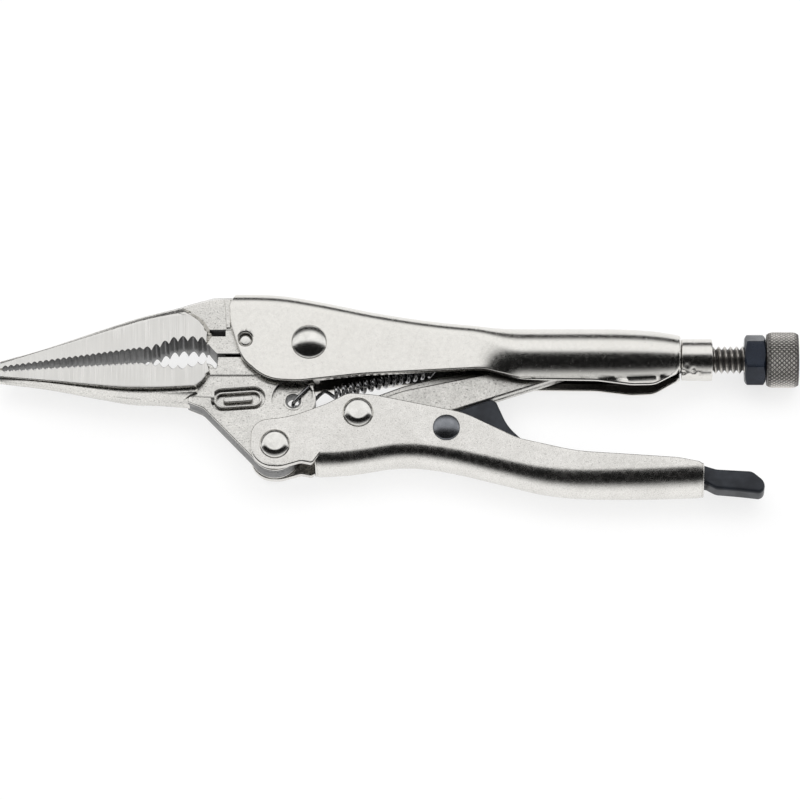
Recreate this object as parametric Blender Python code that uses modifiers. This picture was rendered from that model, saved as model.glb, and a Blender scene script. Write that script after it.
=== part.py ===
# Long-nose locking pliers, lying flat: jaws towards -X, adjusting screw towards +X, thickness along Z.
# All sizes are in millimetres until a mesh is made, where they are turned into metres.
# In the plan view the main jaw pivot is at (0, 0), and the tool's middle plane is z = 0.
import bpy
import bmesh
from math import sin, cos, tan, pi, radians, atan2, sqrt, ceil
from mathutils import Vector

MM = 0.001

# ---- driving dimensions ----
NOSE_LENGTH = 59.8          # nose tip to the back of the ground jaw flats
NOSE_BACK_X = -29.0         # where the nose meets the cutter blocks
NOSE_THICKNESS = 11.5       # ground flat to ground flat at the back of the nose
TIP_THICKNESS = 3.5
HANDLE_WIDTH = 12.0         # over the two cheeks of either handle
SHEET = 2.0                 # handle sheet
BACK_RADIUS = 5.0           # rounding of the handles' folded backs
SCREW_AXIS_Y = -3.2
TUBE_RADIUS = 8.8           # upper handle where it is rolled around the screw
COLLAR_RADIUS = 6.0
COLLAR_FRONT_X = 106.1
COLLAR_BACK_X = 115.1
THREAD_DIAMETER = 7.8
NUT_ACROSS_FLATS = 13.0
NUT_LENGTH = 6.0
NUT_TURN = 6.3             # degrees the nut is turned on the screw
THREAD_SHOWN = 9.2          # bare thread between collar and lock nut
KNOB_DIAMETER = 15.9
KNOB_LENGTH = 9.1
JAW_PIVOT = (0.0, 0.0)
HANDLE_PIVOT = (-9.6, -31.3)
LINK_PIVOT = (14.0, -21.6)
LEVER_PIVOT = (39.1, -26.3)
LINK_END = (78.0, SCREW_AXIS_Y)
LINK_END_RADIUS = 3.8
SPRING_HOLE = (-4.5, -16.6)
JAW_PIN = (-18.2, 0.9)
MAIN_SHANK = 2.9            # rivet shank radii
SIDE_SHANK = 2.4
LEVER_SHANK = 2.0
LOWER_HANDLE_BACK_X = 112.4
WIRE_RADIUS = 0.55
COIL_RADIUS = 1.75

# ---- clearances ----
SIDE_GAP = 0.3              # between a tang or link and the cheek beside it
SHANK_GAP = 0.06            # rivet shank to its hole
HEAD_GAP = 0.15             # under a rivet head
JAW_GAP = 0.3               # between the closed jaws
THREAD_GAP = 0.3
LINK_END_GAP = 2.0          # open end pivot: link end to screw end

HALF = HANDLE_WIDTH / 2
REAR_RADIUS = 1.2 * HALF    # the lower handle's back opens out towards its rear end
INNER = HALF - SHEET
TANG = INNER - SIDE_GAP     # half thickness of what runs between the cheeks
LINK_HALF = TANG - 1.4      # the link also passes between the rolled tube's lips
NOSE_TIP_X = NOSE_BACK_X - NOSE_LENGTH
SEGMENTS = 24


# ---- small tools ----
def group(name):
    made = bpy.data.collections.new(name)
    bpy.context.scene.collection.children.link(made)
    return made


def arc(centre, radius, start, end, steps):
    """Points on an arc, angles in degrees, both ends included."""
    return [(centre[0] + radius * cos(radians(start + (end - start) * i / steps)),
             centre[1] + radius * sin(radians(start + (end - start) * i / steps)))
            for i in range(steps + 1)]


def rounded(corners):
    """Closed outline through corners (x, y) or (x, y, r), where r turns the corner into an arc."""
    points = []
    for i, corner in enumerate(corners):
        here = Vector(corner[:2])
        if len(corner) == 2:
            points.append(tuple(here))
            continue
        radius = corner[2]
        before = (Vector(corners[i - 1][:2]) - here).normalized()
        after = (Vector(corners[(i + 1) % len(corners)][:2]) - here).normalized()
        inside = before.angle(after)
        centre = here + (before + after).normalized() * radius / sin(inside / 2)
        first = here + before * radius / tan(inside / 2) - centre
        last = here + after * radius / tan(inside / 2) - centre
        start = atan2(first.y, first.x)
        sweep = (atan2(last.y, last.x) - start + pi) % (2 * pi) - pi
        steps = max(2, ceil(abs(sweep) / radians(14)))
        for k in range(steps + 1):
            angle = start + sweep * k / steps
            points.append((centre.x + radius * cos(angle), centre.y + radius * sin(angle)))
    return points


def smooth_line(*knots):
    """A function that runs smoothly through the knots (x, y)."""
    slopes = []
    for i in range(len(knots)):
        a, b = knots[max(0, i - 1)], knots[min(len(knots) - 1, i + 1)]
        slopes.append((b[1] - a[1]) / (b[0] - a[0]))

    def value(x):
        i = 0
        while i < len(knots) - 2 and x > knots[i + 1][0]:
            i += 1
        (x0, y0), (x1, y1) = knots[i], knots[i + 1]
        t, span = (x - x0) / (x1 - x0), x1 - x0
        return (y0 * (1 + 2 * t) * (1 - t) ** 2 + slopes[i] * span * t * (1 - t) ** 2
                + y1 * t * t * (3 - 2 * t) + slopes[i + 1] * span * t * t * (t - 1))
    return value


def blend(a, b, x):
    t = min(1, max(0, (x - a) / (b - a)))
    return t * t * (3 - 2 * t)


def stations(*runs):
    """Places along X: each run is (start, end, count), the last end closes the list."""
    places = []
    for start, end, count in runs:
        places += [start + (end - start) * i / count for i in range(count)]
    return places + [runs[-1][1]]


def new_object(name, mesh, pivot, where):
    made = bpy.data.objects.new(name, mesh)
    made.location = (pivot[0] * MM, pivot[1] * MM, 0)
    where.objects.link(made)
    return made


def solid(name, points, faces, pivot, where):
    """Object from points (x, y, z) and the faces between them."""
    build = bmesh.new()
    verts = [build.verts.new(((x - pivot[0]) * MM, (y - pivot[1]) * MM, z * MM)) for x, y, z in points]
    for face in faces:
        build.faces.new([verts[i] for i in face])
    bmesh.ops.recalc_face_normals(build, faces=build.faces)
    mesh = bpy.data.meshes.new(name)
    build.to_mesh(mesh)
    build.free()
    return new_object(name, mesh, pivot, where)


def loft(name, rings, pivot, where):
    """Solid through rings of equally many points, closed flat at both ends."""
    count = len(rings[0])
    faces = [[r * count + i, r * count + (i + 1) % count,
              (r + 1) * count + (i + 1) % count, (r + 1) * count + i]
             for r in range(len(rings) - 1) for i in range(count)]
    faces += [list(range(count)), [(len(rings) - 1) * count + i for i in range(count)]]
    return solid(name, [p for ring in rings for p in ring], faces, pivot, where)


def bent_sheet(name, sections, pivot, where):
    """Channel of folded sheet: each section is (outer path, inner path) of equally many points."""
    n = len(sections[0][0])
    rings = [list(outer) + list(reversed(inner)) for outer, inner in sections]
    count = 2 * n
    faces = [[r * count + i, r * count + (i + 1) % count,
              (r + 1) * count + (i + 1) % count, (r + 1) * count + i]
             for r in range(len(rings) - 1) for i in range(count)]
    for r in (0, len(rings) - 1):
        faces += [[r * count + i, r * count + i + 1, r * count + count - 2 - i, r * count + count - 1 - i]
                  for i in range(n - 1)]
    return solid(name, [p for ring in rings for p in ring], faces, pivot, where)


def plate(name, outlines, low, high, pivot, where):
    """Flat piece between two heights; outlines after the first are openings in it."""
    curve = bpy.data.curves.new(name, 'CURVE')
    curve.dimensions = '2D'
    curve.fill_mode = 'BOTH'
    curve.extrude = (high - low) / 2 * MM
    for outline in outlines:
        spline = curve.splines.new('POLY')
        spline.points.add(len(outline) - 1)
        for point, (x, y) in zip(spline.points, outline):
            point.co = ((x - pivot[0]) * MM, (y - pivot[1]) * MM, 0, 1)
        spline.use_cyclic_u = True
    draft = bpy.data.objects.new(name + '_outline', curve)
    where.objects.link(draft)
    bpy.context.view_layer.update()
    mesh = bpy.data.meshes.new_from_object(draft.evaluated_get(bpy.context.evaluated_depsgraph_get()))
    weld = bmesh.new()
    weld.from_mesh(mesh)
    bmesh.ops.remove_doubles(weld, verts=weld.verts, dist=1e-7)
    bmesh.ops.translate(weld, verts=weld.verts, vec=(0, 0, (low + high) / 2 * MM))
    bmesh.ops.dissolve_limit(weld, angle_limit=radians(0.5), verts=weld.verts, edges=weld.edges)
    bmesh.ops.recalc_face_normals(weld, faces=weld.faces)
    weld.to_mesh(mesh)
    weld.free()
    bpy.data.objects.remove(draft)
    bpy.data.curves.remove(curve)
    mesh.name = name
    return new_object(name, mesh, pivot, where)


def turned(name, profile, pivot, where, along='Z'):
    """Turned piece: profile of (radius, height) from top to bottom, closed on the axis at both ends."""
    mesh = bpy.data.meshes.new(name)
    mesh.from_pydata([(r * MM, 0, h * MM) for r, h in profile],
                     [(i, i + 1) for i in range(len(profile) - 1)], [])
    made = new_object(name, mesh, pivot, where)
    if along == 'X':
        made.rotation_euler = (0, pi / 2, 0)
    spin = made.modifiers.new('turn', 'SCREW')
    spin.axis = 'Z'
    spin.steps = spin.render_steps = SEGMENTS
    spin.use_merge_vertices = True
    spin.merge_threshold = 1e-7
    spin.use_normal_calculate = False
    return made


def cylinder(name, radius, low, high, pivot, where, along='Z', sides=SEGMENTS):
    bpy.ops.mesh.primitive_cylinder_add(vertices=sides, radius=radius * MM, depth=(high - low) * MM)
    made = bpy.context.object
    made.name = made.data.name = name
    for owner in list(made.users_collection):
        owner.objects.unlink(made)
    where.objects.link(made)
    middle = (low + high) / 2 * MM
    if along == 'X':
        made.rotation_euler = (0, pi / 2, 0)
        made.location = (middle, pivot[1] * MM, 0)
    else:
        made.location = (pivot[0] * MM, pivot[1] * MM, middle)
    return made


def combine(target, other, how):
    step = target.modifiers.new(how.lower() + '_' + other.name, 'BOOLEAN')
    step.operation = how
    step.object = other
    other.hide_render = True
    other.display_type = 'WIRE'
    other.parent = frame


def soften(target, width, segments=1, angle=50):
    edge = target.modifiers.new('edges', 'BEVEL')
    edge.width = width * MM
    edge.segments = segments
    edge.limit_method = 'ANGLE'
    edge.angle_limit = radians(angle)


def finish(target, material, smooth=25):
    """Material, parent, and smooth shading up to an angle; 0 leaves the facets flat."""
    target.data.materials.append(material)
    if smooth:
        target.data.shade_smooth()
        target.data.set_sharp_from_angle(angle=radians(smooth))
    target.parent = frame


def metal(name, colour, roughness, metallic=1.0):
    made = bpy.data.materials.new(name)
    made.use_nodes = True
    shader = made.node_tree.nodes['Principled BSDF']
    shader.inputs['Base Color'].default_value = (*colour, 1)
    shader.inputs['Roughness'].default_value = roughness
    shader.inputs['Metallic'].default_value = metallic
    return made


for old in list(bpy.data.objects):
    bpy.data.objects.remove(old)
parts = group('locking_pliers')
cutters = group('cutters')
frame = bpy.data.objects.new('pliers_frame', None)
parts.objects.link(frame)

satin_nickel = metal('satin_nickel', (0.62, 0.61, 0.59), 0.38)
ground_steel = metal('ground_steel', (0.68, 0.68, 0.67), 0.3)
bright_rivet = metal('bright_rivet', (0.75, 0.75, 0.74), 0.18)
dark_rivet = metal('dark_rivet', (0.16, 0.17, 0.18), 0.35)
blackened = metal('blackened_steel', (0.05, 0.055, 0.06), 0.45, 0.8)
spring_steel = metal('spring_steel', (0.1, 0.1, 0.105), 0.35)
plain_steel = metal('plain_steel', (0.55, 0.55, 0.54), 0.35)


# ---- jaw noses ----
def nose(name, tooth, flat, ridge, back_x, where):
    """Tapering nose: tooth face, ground side flats that stand proud, slanted shoulders, blunt ridge."""
    way = 1 if ridge(NOSE_TIP_X) > tooth(NOSE_TIP_X) else -1
    rings = []
    taper_end = NOSE_TIP_X + NOSE_LENGTH * 0.67
    for x in stations((NOSE_TIP_X, taper_end, 8), (taper_end, back_x, 5)):
        share = min(1, (x - NOSE_TIP_X) / (taper_end - NOSE_TIP_X))
        half = (TIP_THICKNESS + (NOSE_THICKNESS - TIP_THICKNESS) * share) / 2
        proud = 0.12 + 0.8 * share
        blunt = 0.8 + 0.8 * share
        side = [(tooth(x), half), (flat(x), half), (flat(x) + way * 0.1, half - proud),
                (ridge(x), blunt)]
        rings.append([(x, y, z) for y, z in side] + [(x, y, -z) for y, z in reversed(side)])
    return loft(name, rings, JAW_PIVOT, where)


def straight_comb(name, start, end, pitch, crest, root, outside, where):
    """Row of V grooves along a line; grooves go to the left of the way from start to end."""
    run = Vector(end) - Vector(start)
    along = run.normalized()
    into = Vector((-along.y, along.x))
    count = int(run.length / pitch)
    line = [(0, -outside)]
    for i in range(count):
        line += [(i * pitch, crest), ((i + 0.5) * pitch, root)]
    line += [(count * pitch, crest), (count * pitch, -outside)]
    points = [tuple(Vector(start) + along * s + into * n) for s, n in line]
    return plate(name, [points], -9, 9, JAW_PIVOT, where)


def arched_comb(name, centre, crest, root, inside, start, end, count, where):
    """Row of V grooves around an arc, angles in degrees."""
    step = (end - start) / count
    line = [(start, inside)]
    for i in range(count):
        line += [(start + i * step, crest), (start + (i + 0.5) * step, root)]
    line += [(end, crest), (end, inside)]
    points = [(centre[0] + r * cos(radians(a)), centre[1] + r * sin(radians(a))) for a, r in line]
    return plate(name, [points], -9, 9, JAW_PIVOT, where)


def side_relief(name, centre, radius, start, end, spread, corners, floor, where):
    """Cutters that thin both sides behind a rounded, sloping shoulder at the back of a nose."""
    made = []
    top = NOSE_THICKNESS / 2 + 2
    for side in (1, -1):
        rings = []
        for z, r in ((floor, radius + spread), (top, radius - 0.4)):
            points = arc(centre, r, start, end, 12) + corners
            rings.append([(x, y, side * z) for x, y in points])
        made.append(loft(name + ('_front' if side > 0 else '_back'), rings, JAW_PIVOT, where))
    return made


# ---- upper jaw: fixed between the upper handle's cheeks ----
def make_upper_jaw():
    tip, back = NOSE_TIP_X, NOSE_BACK_X
    tooth = smooth_line((tip, -6.7), (tip + NOSE_LENGTH * 0.5, -3.45), (back, -0.4), (back + 6, 0.3))
    flat = smooth_line((tip, -5.1), (tip + NOSE_LENGTH * 0.24, -1.0), (tip + NOSE_LENGTH * 0.7, 6.9),
                       (back - 6, 9.5), (back + 6, 11.3))
    ridge = smooth_line((tip, -4.0), (tip + NOSE_LENGTH * 0.23, 0.1), (tip + NOSE_LENGTH * 0.65, 8.9),
                        (back - 9, 12.2), (back, 15.0), (back + 6, 15.9))
    cheek_front = -22.9
    jaw = nose('upper_jaw', tooth, flat, ridge, cheek_front - SIDE_GAP, parts)

    for cutter in side_relief('upper_relief', (back - 8.8, 0.4), 9.0, -70, 77, 0.9,
                              [(back - 11, 20), (0, 20), (0, -20), (back - 4, -20)], TANG + 0.2, cutters):
        combine(jaw, cutter, 'DIFFERENCE')
    combine(jaw, straight_comb('upper_fine_teeth', (tip + 1.2, tooth(tip + 1.2)),
                               (tip + 0.68 * NOSE_LENGTH, tooth(tip + 0.68 * NOSE_LENGTH)),
                               1.67, 0.05, 0.6, 2.5, cutters), 'DIFFERENCE')
    combine(jaw, arched_comb('upper_coarse_teeth', (back - 5.6, -18.7), 19.0, 20.7, 15.0,
                             127, 73, 7, cutters), 'DIFFERENCE')
    bottom = SCREW_AXIS_Y + JAW_GAP / 2
    hollow = 8.0
    tang = plate('upper_tang', [
        [(back - 1, 7), (back + 0.2, 0.2), (back + 2.7, bottom), (-sqrt(hollow ** 2 - bottom ** 2), bottom)]
        + arc(JAW_PIVOT, hollow, 196, 125, 6)
        + [(-4.2, 9.0), (-4.2, 11.5), (cheek_front + 1, 11.7), (cheek_front - 3, 10.5)]],
        -TANG, TANG, JAW_PIVOT, cutters)
    soften(tang, 0.4)
    combine(jaw, tang, 'UNION')
    for side in (1, -1):
        groove = plate('upper_slot' + ('_front' if side > 0 else '_back'),
                       [[(back - 1.5, 2.4), (back + 14, 2.9), (back + 14, 4.7), (back - 1.5, 4.3)]],
                       side * (TANG + 1) - 1.7, side * (TANG + 1) + 1.7, JAW_PIVOT, cutters)
        combine(jaw, groove, 'DIFFERENCE')
    combine(jaw, cylinder('jaw_pin_bore', 1.75 + SHANK_GAP, -9, 9, JAW_PIN, cutters), 'DIFFERENCE')
    finish(jaw, ground_steel, 0)


def make_jaw_pin():
    pin = cylinder('upper_jaw_pin', 1.75, 1 - HALF, HALF - 1, JAW_PIN, parts, sides=SEGMENTS)
    soften(pin, 0.2)
    finish(pin, bright_rivet)


# ---- lower jaw: swings on the main rivet ----
def make_lower_jaw():
    tip, back = NOSE_TIP_X, NOSE_BACK_X
    tooth = smooth_line((tip, -7.0), (tip + NOSE_LENGTH * 0.25, -6.55), (tip + NOSE_LENGTH * 0.62, -6.1),
                        (back, -5.6), (back + 3, -5.4))
    flat = smooth_line((tip, -9.0), (tip + NOSE_LENGTH * 0.25, -10.95), (tip + NOSE_LENGTH * 0.58, -13.7),
                       (tip + NOSE_LENGTH * 0.72, -14.1), (back - 3, -13.5), (back + 3, -13.0))
    ridge = smooth_line((tip, -10.4), (tip + NOSE_LENGTH * 0.23, -12.1), (tip + NOSE_LENGTH * 0.47, -14.7),
                        (tip + NOSE_LENGTH * 0.71, -16.5), (back - 4.4, -17.7), (back + 3, -18.4))
    jaw = nose('lower_jaw', tooth, flat, ridge, back + 2, parts)
    block = SCREW_AXIS_Y - JAW_GAP / 2
    field = TANG - 0.4
    for cutter in side_relief('lower_relief', (back - 8, -6.0), 8.9, 40, -108, 1.4,
                              [(back - 9, -30), (0, -30), (0, 10)], field + 0.1, cutters):
        combine(jaw, cutter, 'DIFFERENCE')
    combine(jaw, straight_comb('lower_fine_teeth', (tip + 0.74 * NOSE_LENGTH, tooth(tip + 0.74 * NOSE_LENGTH)),
                               (tip + 1.2, tooth(tip + 1.2)), 1.67, 0.05, 0.6, 2.5, cutters), 'DIFFERENCE')
    combine(jaw, arched_comb('lower_coarse_teeth', (back - 8.3, 9.8), 16.7, 18.0, 12.0,
                             -112, -62.5, 5, cutters), 'DIFFERENCE')
    # cutter block and lobe around the main rivet
    lobe = 7.5
    head = plate('lower_block', [[(back - 2, -7.0), (back + 2.6, -7.0), (back + 2.9, block),
                                  (-sqrt(lobe ** 2 - block ** 2), block)]
                                 + arc(JAW_PIVOT, lobe, 198, -42, 16) + [(3, -9.6), (back - 2, -9.6)]],
                 -TANG, TANG, JAW_PIVOT, cutters)
    soften(head, 0.4)
    combine(jaw, head, 'UNION')
    # arm down to the lower handle
    hx, hy = HANDLE_PIVOT
    arm = plate('lower_arm', [rounded([(back - 5, -7.5), (1.5, -7.5), (1.3, -16.6, 3), (hx + 7.0, -25, 6)]
                                      + arc(HANDLE_PIVOT, 7.0, 0, -150, 12)
                                      + [(back - 1.0, -19.3, 4), (back - 5.5, -17.4)])],
                -field, field, JAW_PIVOT, cutters)
    soften(arm, 0.4)
    combine(jaw, arm, 'UNION')
    thin = 1.8
    for side in (1, -1):
        spot = cylinder('thin_spot' + ('_front' if side > 0 else '_back'), 6.5,
                        min(side * thin, side * 7), max(side * thin, side * 7), SPRING_HOLE, cutters)
        combine(jaw, spot, 'DIFFERENCE')
    combine(jaw, cylinder('spring_bore', 2.2, -9, 9, SPRING_HOLE, cutters), 'DIFFERENCE')
    # long oval recess with a plain bar left standing in it
    length, height, tilt = 15.4, 6.6, radians(4)
    centre = Vector((-20.2, -16.5))
    flat_run = (length - height) / 2

    def turn(points):
        return [(centre.x + x * cos(tilt) - y * sin(tilt), centre.y + x * sin(tilt) + y * cos(tilt))
                for x, y in points]
    oval = turn(arc((flat_run, 0), height / 2, -90, 90, 10) + arc((-flat_run, 0), height / 2, 90, 270, 10))
    bar = turn(arc((3.2, 0), 0.9, -90, 90, 5) + arc((-3.2, 0), 0.9, 90, 270, 5))
    combine(jaw, plate('oval_recess', [oval, bar], field - 0.45, field + 3, JAW_PIVOT, cutters), 'DIFFERENCE')
    combine(jaw, cylinder('main_bore', MAIN_SHANK + SHANK_GAP, -9, 9, JAW_PIVOT, cutters), 'DIFFERENCE')
    combine(jaw, cylinder('handle_bore', SIDE_SHANK + SHANK_GAP, -9, 9, HANDLE_PIVOT, cutters), 'DIFFERENCE')
    finish(jaw, ground_steel, 0)


# ---- upper handle: folded sheet, flat cheeks in front, rolled into an open tube around the screw ----
def make_upper_handle():
    top = smooth_line((-25, 16.25), (-9, 15.9), (3, 13.9), (20, 10.3), (38, 7.5), (56, 6.0), (70, 5.8))
    tube = smooth_line((40, TUBE_RADIUS), (86, TUBE_RADIUS), (96, TUBE_RADIUS - 0.4),
                       (102, TUBE_RADIUS - 1.1), (107, TUBE_RADIUS - 2.1), (109.5, TUBE_RADIUS - 2.7))
    sections = []
    for x in stations((-25, 46, 8), (46, 62, 7), (62, 88, 2), (88, COLLAR_FRONT_X, 6)):
        change = blend(46, 61, x)
        pair = []
        for inset in (0, SHEET):
            half, bend = HALF - inset, BACK_RADIUS - inset
            side = [(half, -14 + i * (top(x) - BACK_RADIUS + 14) / 4) for i in range(4)]
            side += [(HALF - BACK_RADIUS + bend * cos(a), top(x) - BACK_RADIUS + bend * sin(a))
                     for a in (radians(i * 15) for i in range(6))]
            side.append((0, top(x) - inset))
            radius = tube(x) - inset
            low = -58.0
            round_side = [(radius * cos(radians(low)), SCREW_AXIS_Y - 11.0)]
            round_side += [(radius * cos(radians(a)), SCREW_AXIS_Y + radius * sin(radians(a)))
                           for a in [low + i * (90 - low) / 9 for i in range(9)]]
            round_side.append((0, SCREW_AXIS_Y + radius))
            path = [(x, ya + (yb - ya) * change, za + (zb - za) * change)
                    for (za, ya), (zb, yb) in zip(side, round_side)]
            pair.append([(px, py, pz) for px, py, pz in path]
                        + [(px, py, -pz) for px, py, pz in reversed(path[:-1])])
        sections.append(pair)
    handle = bent_sheet('upper_handle', sections, JAW_PIVOT, parts)
    outline = rounded([(-19.4, 19.0), (-22.9, 13.0, 1.5), (-22.5, 5.5, 22), (-19.2, -5.2, 10),
                       (-12.3, -11.5, 12), (-3, -12.0, 18), (15, -9.9, 60), (49.5, -8.0, 12),
                       (60, -10.9, 12), (82, -11.2, 20), (92, -12.5, 8), (98.5, -12.3, 6),
                       (COLLAR_FRONT_X + 0.6, -7.6), (112, -7.5), (112, 19.0)])
    combine(handle, plate('upper_handle_outline', [outline], -20, 20, JAW_PIVOT, cutters), 'INTERSECT')
    combine(handle, cylinder('main_cheek_bores', MAIN_SHANK + SHANK_GAP, -9, 9, JAW_PIVOT, cutters),
            'DIFFERENCE')
    combine(handle, cylinder('pin_cheek_bores', 2.0, -9, 9, JAW_PIN, cutters), 'DIFFERENCE')
    finish(handle, satin_nickel)


# ---- threaded collar: closes the back end of the tube and carries the screw ----
def make_collar():
    start = COLLAR_FRONT_X + 0.2
    collar = turned('screw_collar', [
        (0, COLLAR_BACK_X), (COLLAR_RADIUS - 0.35, COLLAR_BACK_X), (COLLAR_RADIUS, COLLAR_BACK_X - 0.35),
        (COLLAR_RADIUS, start), (0, start)], (0, SCREW_AXIS_Y), parts, along='X')
    combine(collar, cylinder('screw_bore', THREAD_DIAMETER / 2 + THREAD_GAP, COLLAR_FRONT_X - 8,
                             COLLAR_BACK_X + 8, (0, SCREW_AXIS_Y), cutters, along='X'), 'DIFFERENCE')
    finish(collar, satin_nickel)


# ---- lower handle: folded sheet channel, open towards the upper handle ----
def make_lower_handle():
    hx, hy = HANDLE_PIVOT
    front = 1.6
    bottom = smooth_line((hx - 10, -38.5), (front, -38.5), (12, -37.9), (25, -35.9), (32, -36.0),
                         (41, -37.5), (55, -41.25), (66, -44.1), (77, -45.4), (95, -45.6), (113, -45.0))
    flare = smooth_line((36, 0), (60, 0.5), (94, 0.92), (113, 1))
    end = LOWER_HANDLE_BACK_X
    sections = []
    for x in stations((hx - 10, front, 1), (front, front + 0.2, 1), (front + 0.2, 30, 5), (30, 80, 9), (80, end, 3)):
        rounding = SHEET + 0.4 if x <= front else BACK_RADIUS
        if x > 36:
            rounding += (REAR_RADIUS - BACK_RADIUS) * flare(x)
        wide = max(HALF, rounding)
        pair = []
        for inset in (0, SHEET):
            half, bend = wide - inset, rounding - inset
            path = [(x, -13.0, half), (x, -24.0, half)]
            path += [(x, bottom(x) + rounding - bend * sin(a), wide - rounding + bend * cos(a))
                     for a in (radians(i * 15) for i in range(6))]
            path.append((x, bottom(x) + inset, 0))
            pair.append(path + [(px, py, -pz) for px, py, pz in reversed(path[:-1])])
        sections.append(pair)
    handle = bent_sheet('lower_handle', sections, HANDLE_PIVOT, parts)
    outline = rounded([(hx - 6.9, -24.2, 5), (-5, -22.8, 30), (5.0, -18.9, 14), (11.2, -15.5, 5.5),
                       (19, -16.2, 20), (44, -21.5, 25), (59.5, -29.4, 18), (76, -33.5, 50),
                       (105, -35.7, 15), (end - 0.2, -37.2, 1.4), (end - 0.2, -50), (front, -50),
                       (front, -36.6), (-2.2, -36.7, 3), (hx + 1.5, hy - 7.1, 8), (hx - 6.9, hy - 6.6, 6.4)])
    combine(handle, plate('lower_handle_outline', [outline], -20, 20, HANDLE_PIVOT, cutters), 'INTERSECT')
    mouth = plate('cheek_gap', [[(hx - 12, -10), (front, -10), (front, -50), (hx - 12, -50)]],
                  -INNER, INNER, HANDLE_PIVOT, cutters)
    combine(handle, mouth, 'DIFFERENCE')
    for name, radius, pivot in (('jaw_rivet_bores', SIDE_SHANK, HANDLE_PIVOT),
                                ('link_rivet_bores', SIDE_SHANK, LINK_PIVOT),
                                ('lever_rivet_bores', LEVER_SHANK, LEVER_PIVOT)):
        combine(handle, cylinder(name, radius + SHANK_GAP, -9, 9, pivot, cutters), 'DIFFERENCE')
    finish(handle, satin_nickel)


# ---- toggle link: from the lower handle up to the end of the screw ----
def make_link():
    slope = 0.335
    low_x, low_y = 40.2, -20.0
    ex, ey = LINK_END
    outline = rounded(arc(LINK_PIVOT, 5.6, 100, 285, 14)
                      + [(low_x - 14, low_y - 14 * slope), (66, low_y + (66 - low_x) * slope)]
                      + arc(LINK_END, LINK_END_RADIUS, -72, 90, 10)
                      + [(ex - 8, ey + LINK_END_RADIUS, 30), (27, -11.6, 20), (18.5, -14.9, 6)])
    link = plate('toggle_link', [outline], -LINK_HALF, LINK_HALF, LINK_PIVOT, parts)
    soften(link, 0.6, 2)
    combine(link, cylinder('link_bore', SIDE_SHANK + SHANK_GAP, -9, 9, LINK_PIVOT, cutters), 'DIFFERENCE')
    finish(link, satin_nickel)


# ---- release lever: riveted inside the lower handle, its tail sticks out at the back ----
def make_lever():
    ex, ey = LEVER_PIVOT
    end = LOWER_HANDLE_BACK_X
    outline = rounded(arc(LEVER_PIVOT, 4.6, 150, 262, 8)
                      + [(50, -32.2, 15), (62, -37.6, 20), (80, -41.0, 30), (100, -41.6, 40),
                         (end + 0.4, -42.2, 2), (end + 3.2, -43.8, 4), (end + 10, -44.4, 8),
                         (end + 16.6, -45.2, 1.8), (end + 17.4, -41.6, 3), (end + 13.6, -38.3, 3),
                         (end + 3.4, -37.7, 5), (end - 2.4, -35.8, 6), (96, -36.6, 20), (76, -35.0, 20),
                         (64, -31.8, 10), (56.6, -24.6, 14), (53.4, -17.2, 0.6), (52.0, -16.3, 0.6),
                         (41.8, -20.0, 1.5)])
    lever = plate('release_lever', [outline], -HALF / 2, HALF / 2, LEVER_PIVOT, parts)
    soften(lever, 0.8, 2)
    combine(lever, cylinder('lever_bore', LEVER_SHANK + SHANK_GAP, -9, 9, LEVER_PIVOT, cutters), 'DIFFERENCE')
    finish(lever, blackened)


# ---- rivets ----
def make_rivet(name, pivot, shank, head, height, flat_top, material):
    """Two heads on one shank; flat_top is the radius of the level part of each head."""
    low = HALF + HEAD_GAP
    rim = 0.35
    crown = []
    for i in range(5):
        angle = pi / 2 * i / 4
        crown.append((flat_top + (head - flat_top) * sin(angle),
                      low + rim + (height - rim) * cos(angle)))
    top = [(0, low + height)] + (crown if flat_top else crown[1:]) + [(head, low), (shank, low)]
    profile = top + [(r, -h) for r, h in reversed(top)]
    rivet = turned(name, profile, pivot, parts)
    finish(rivet, material, 40)


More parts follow.
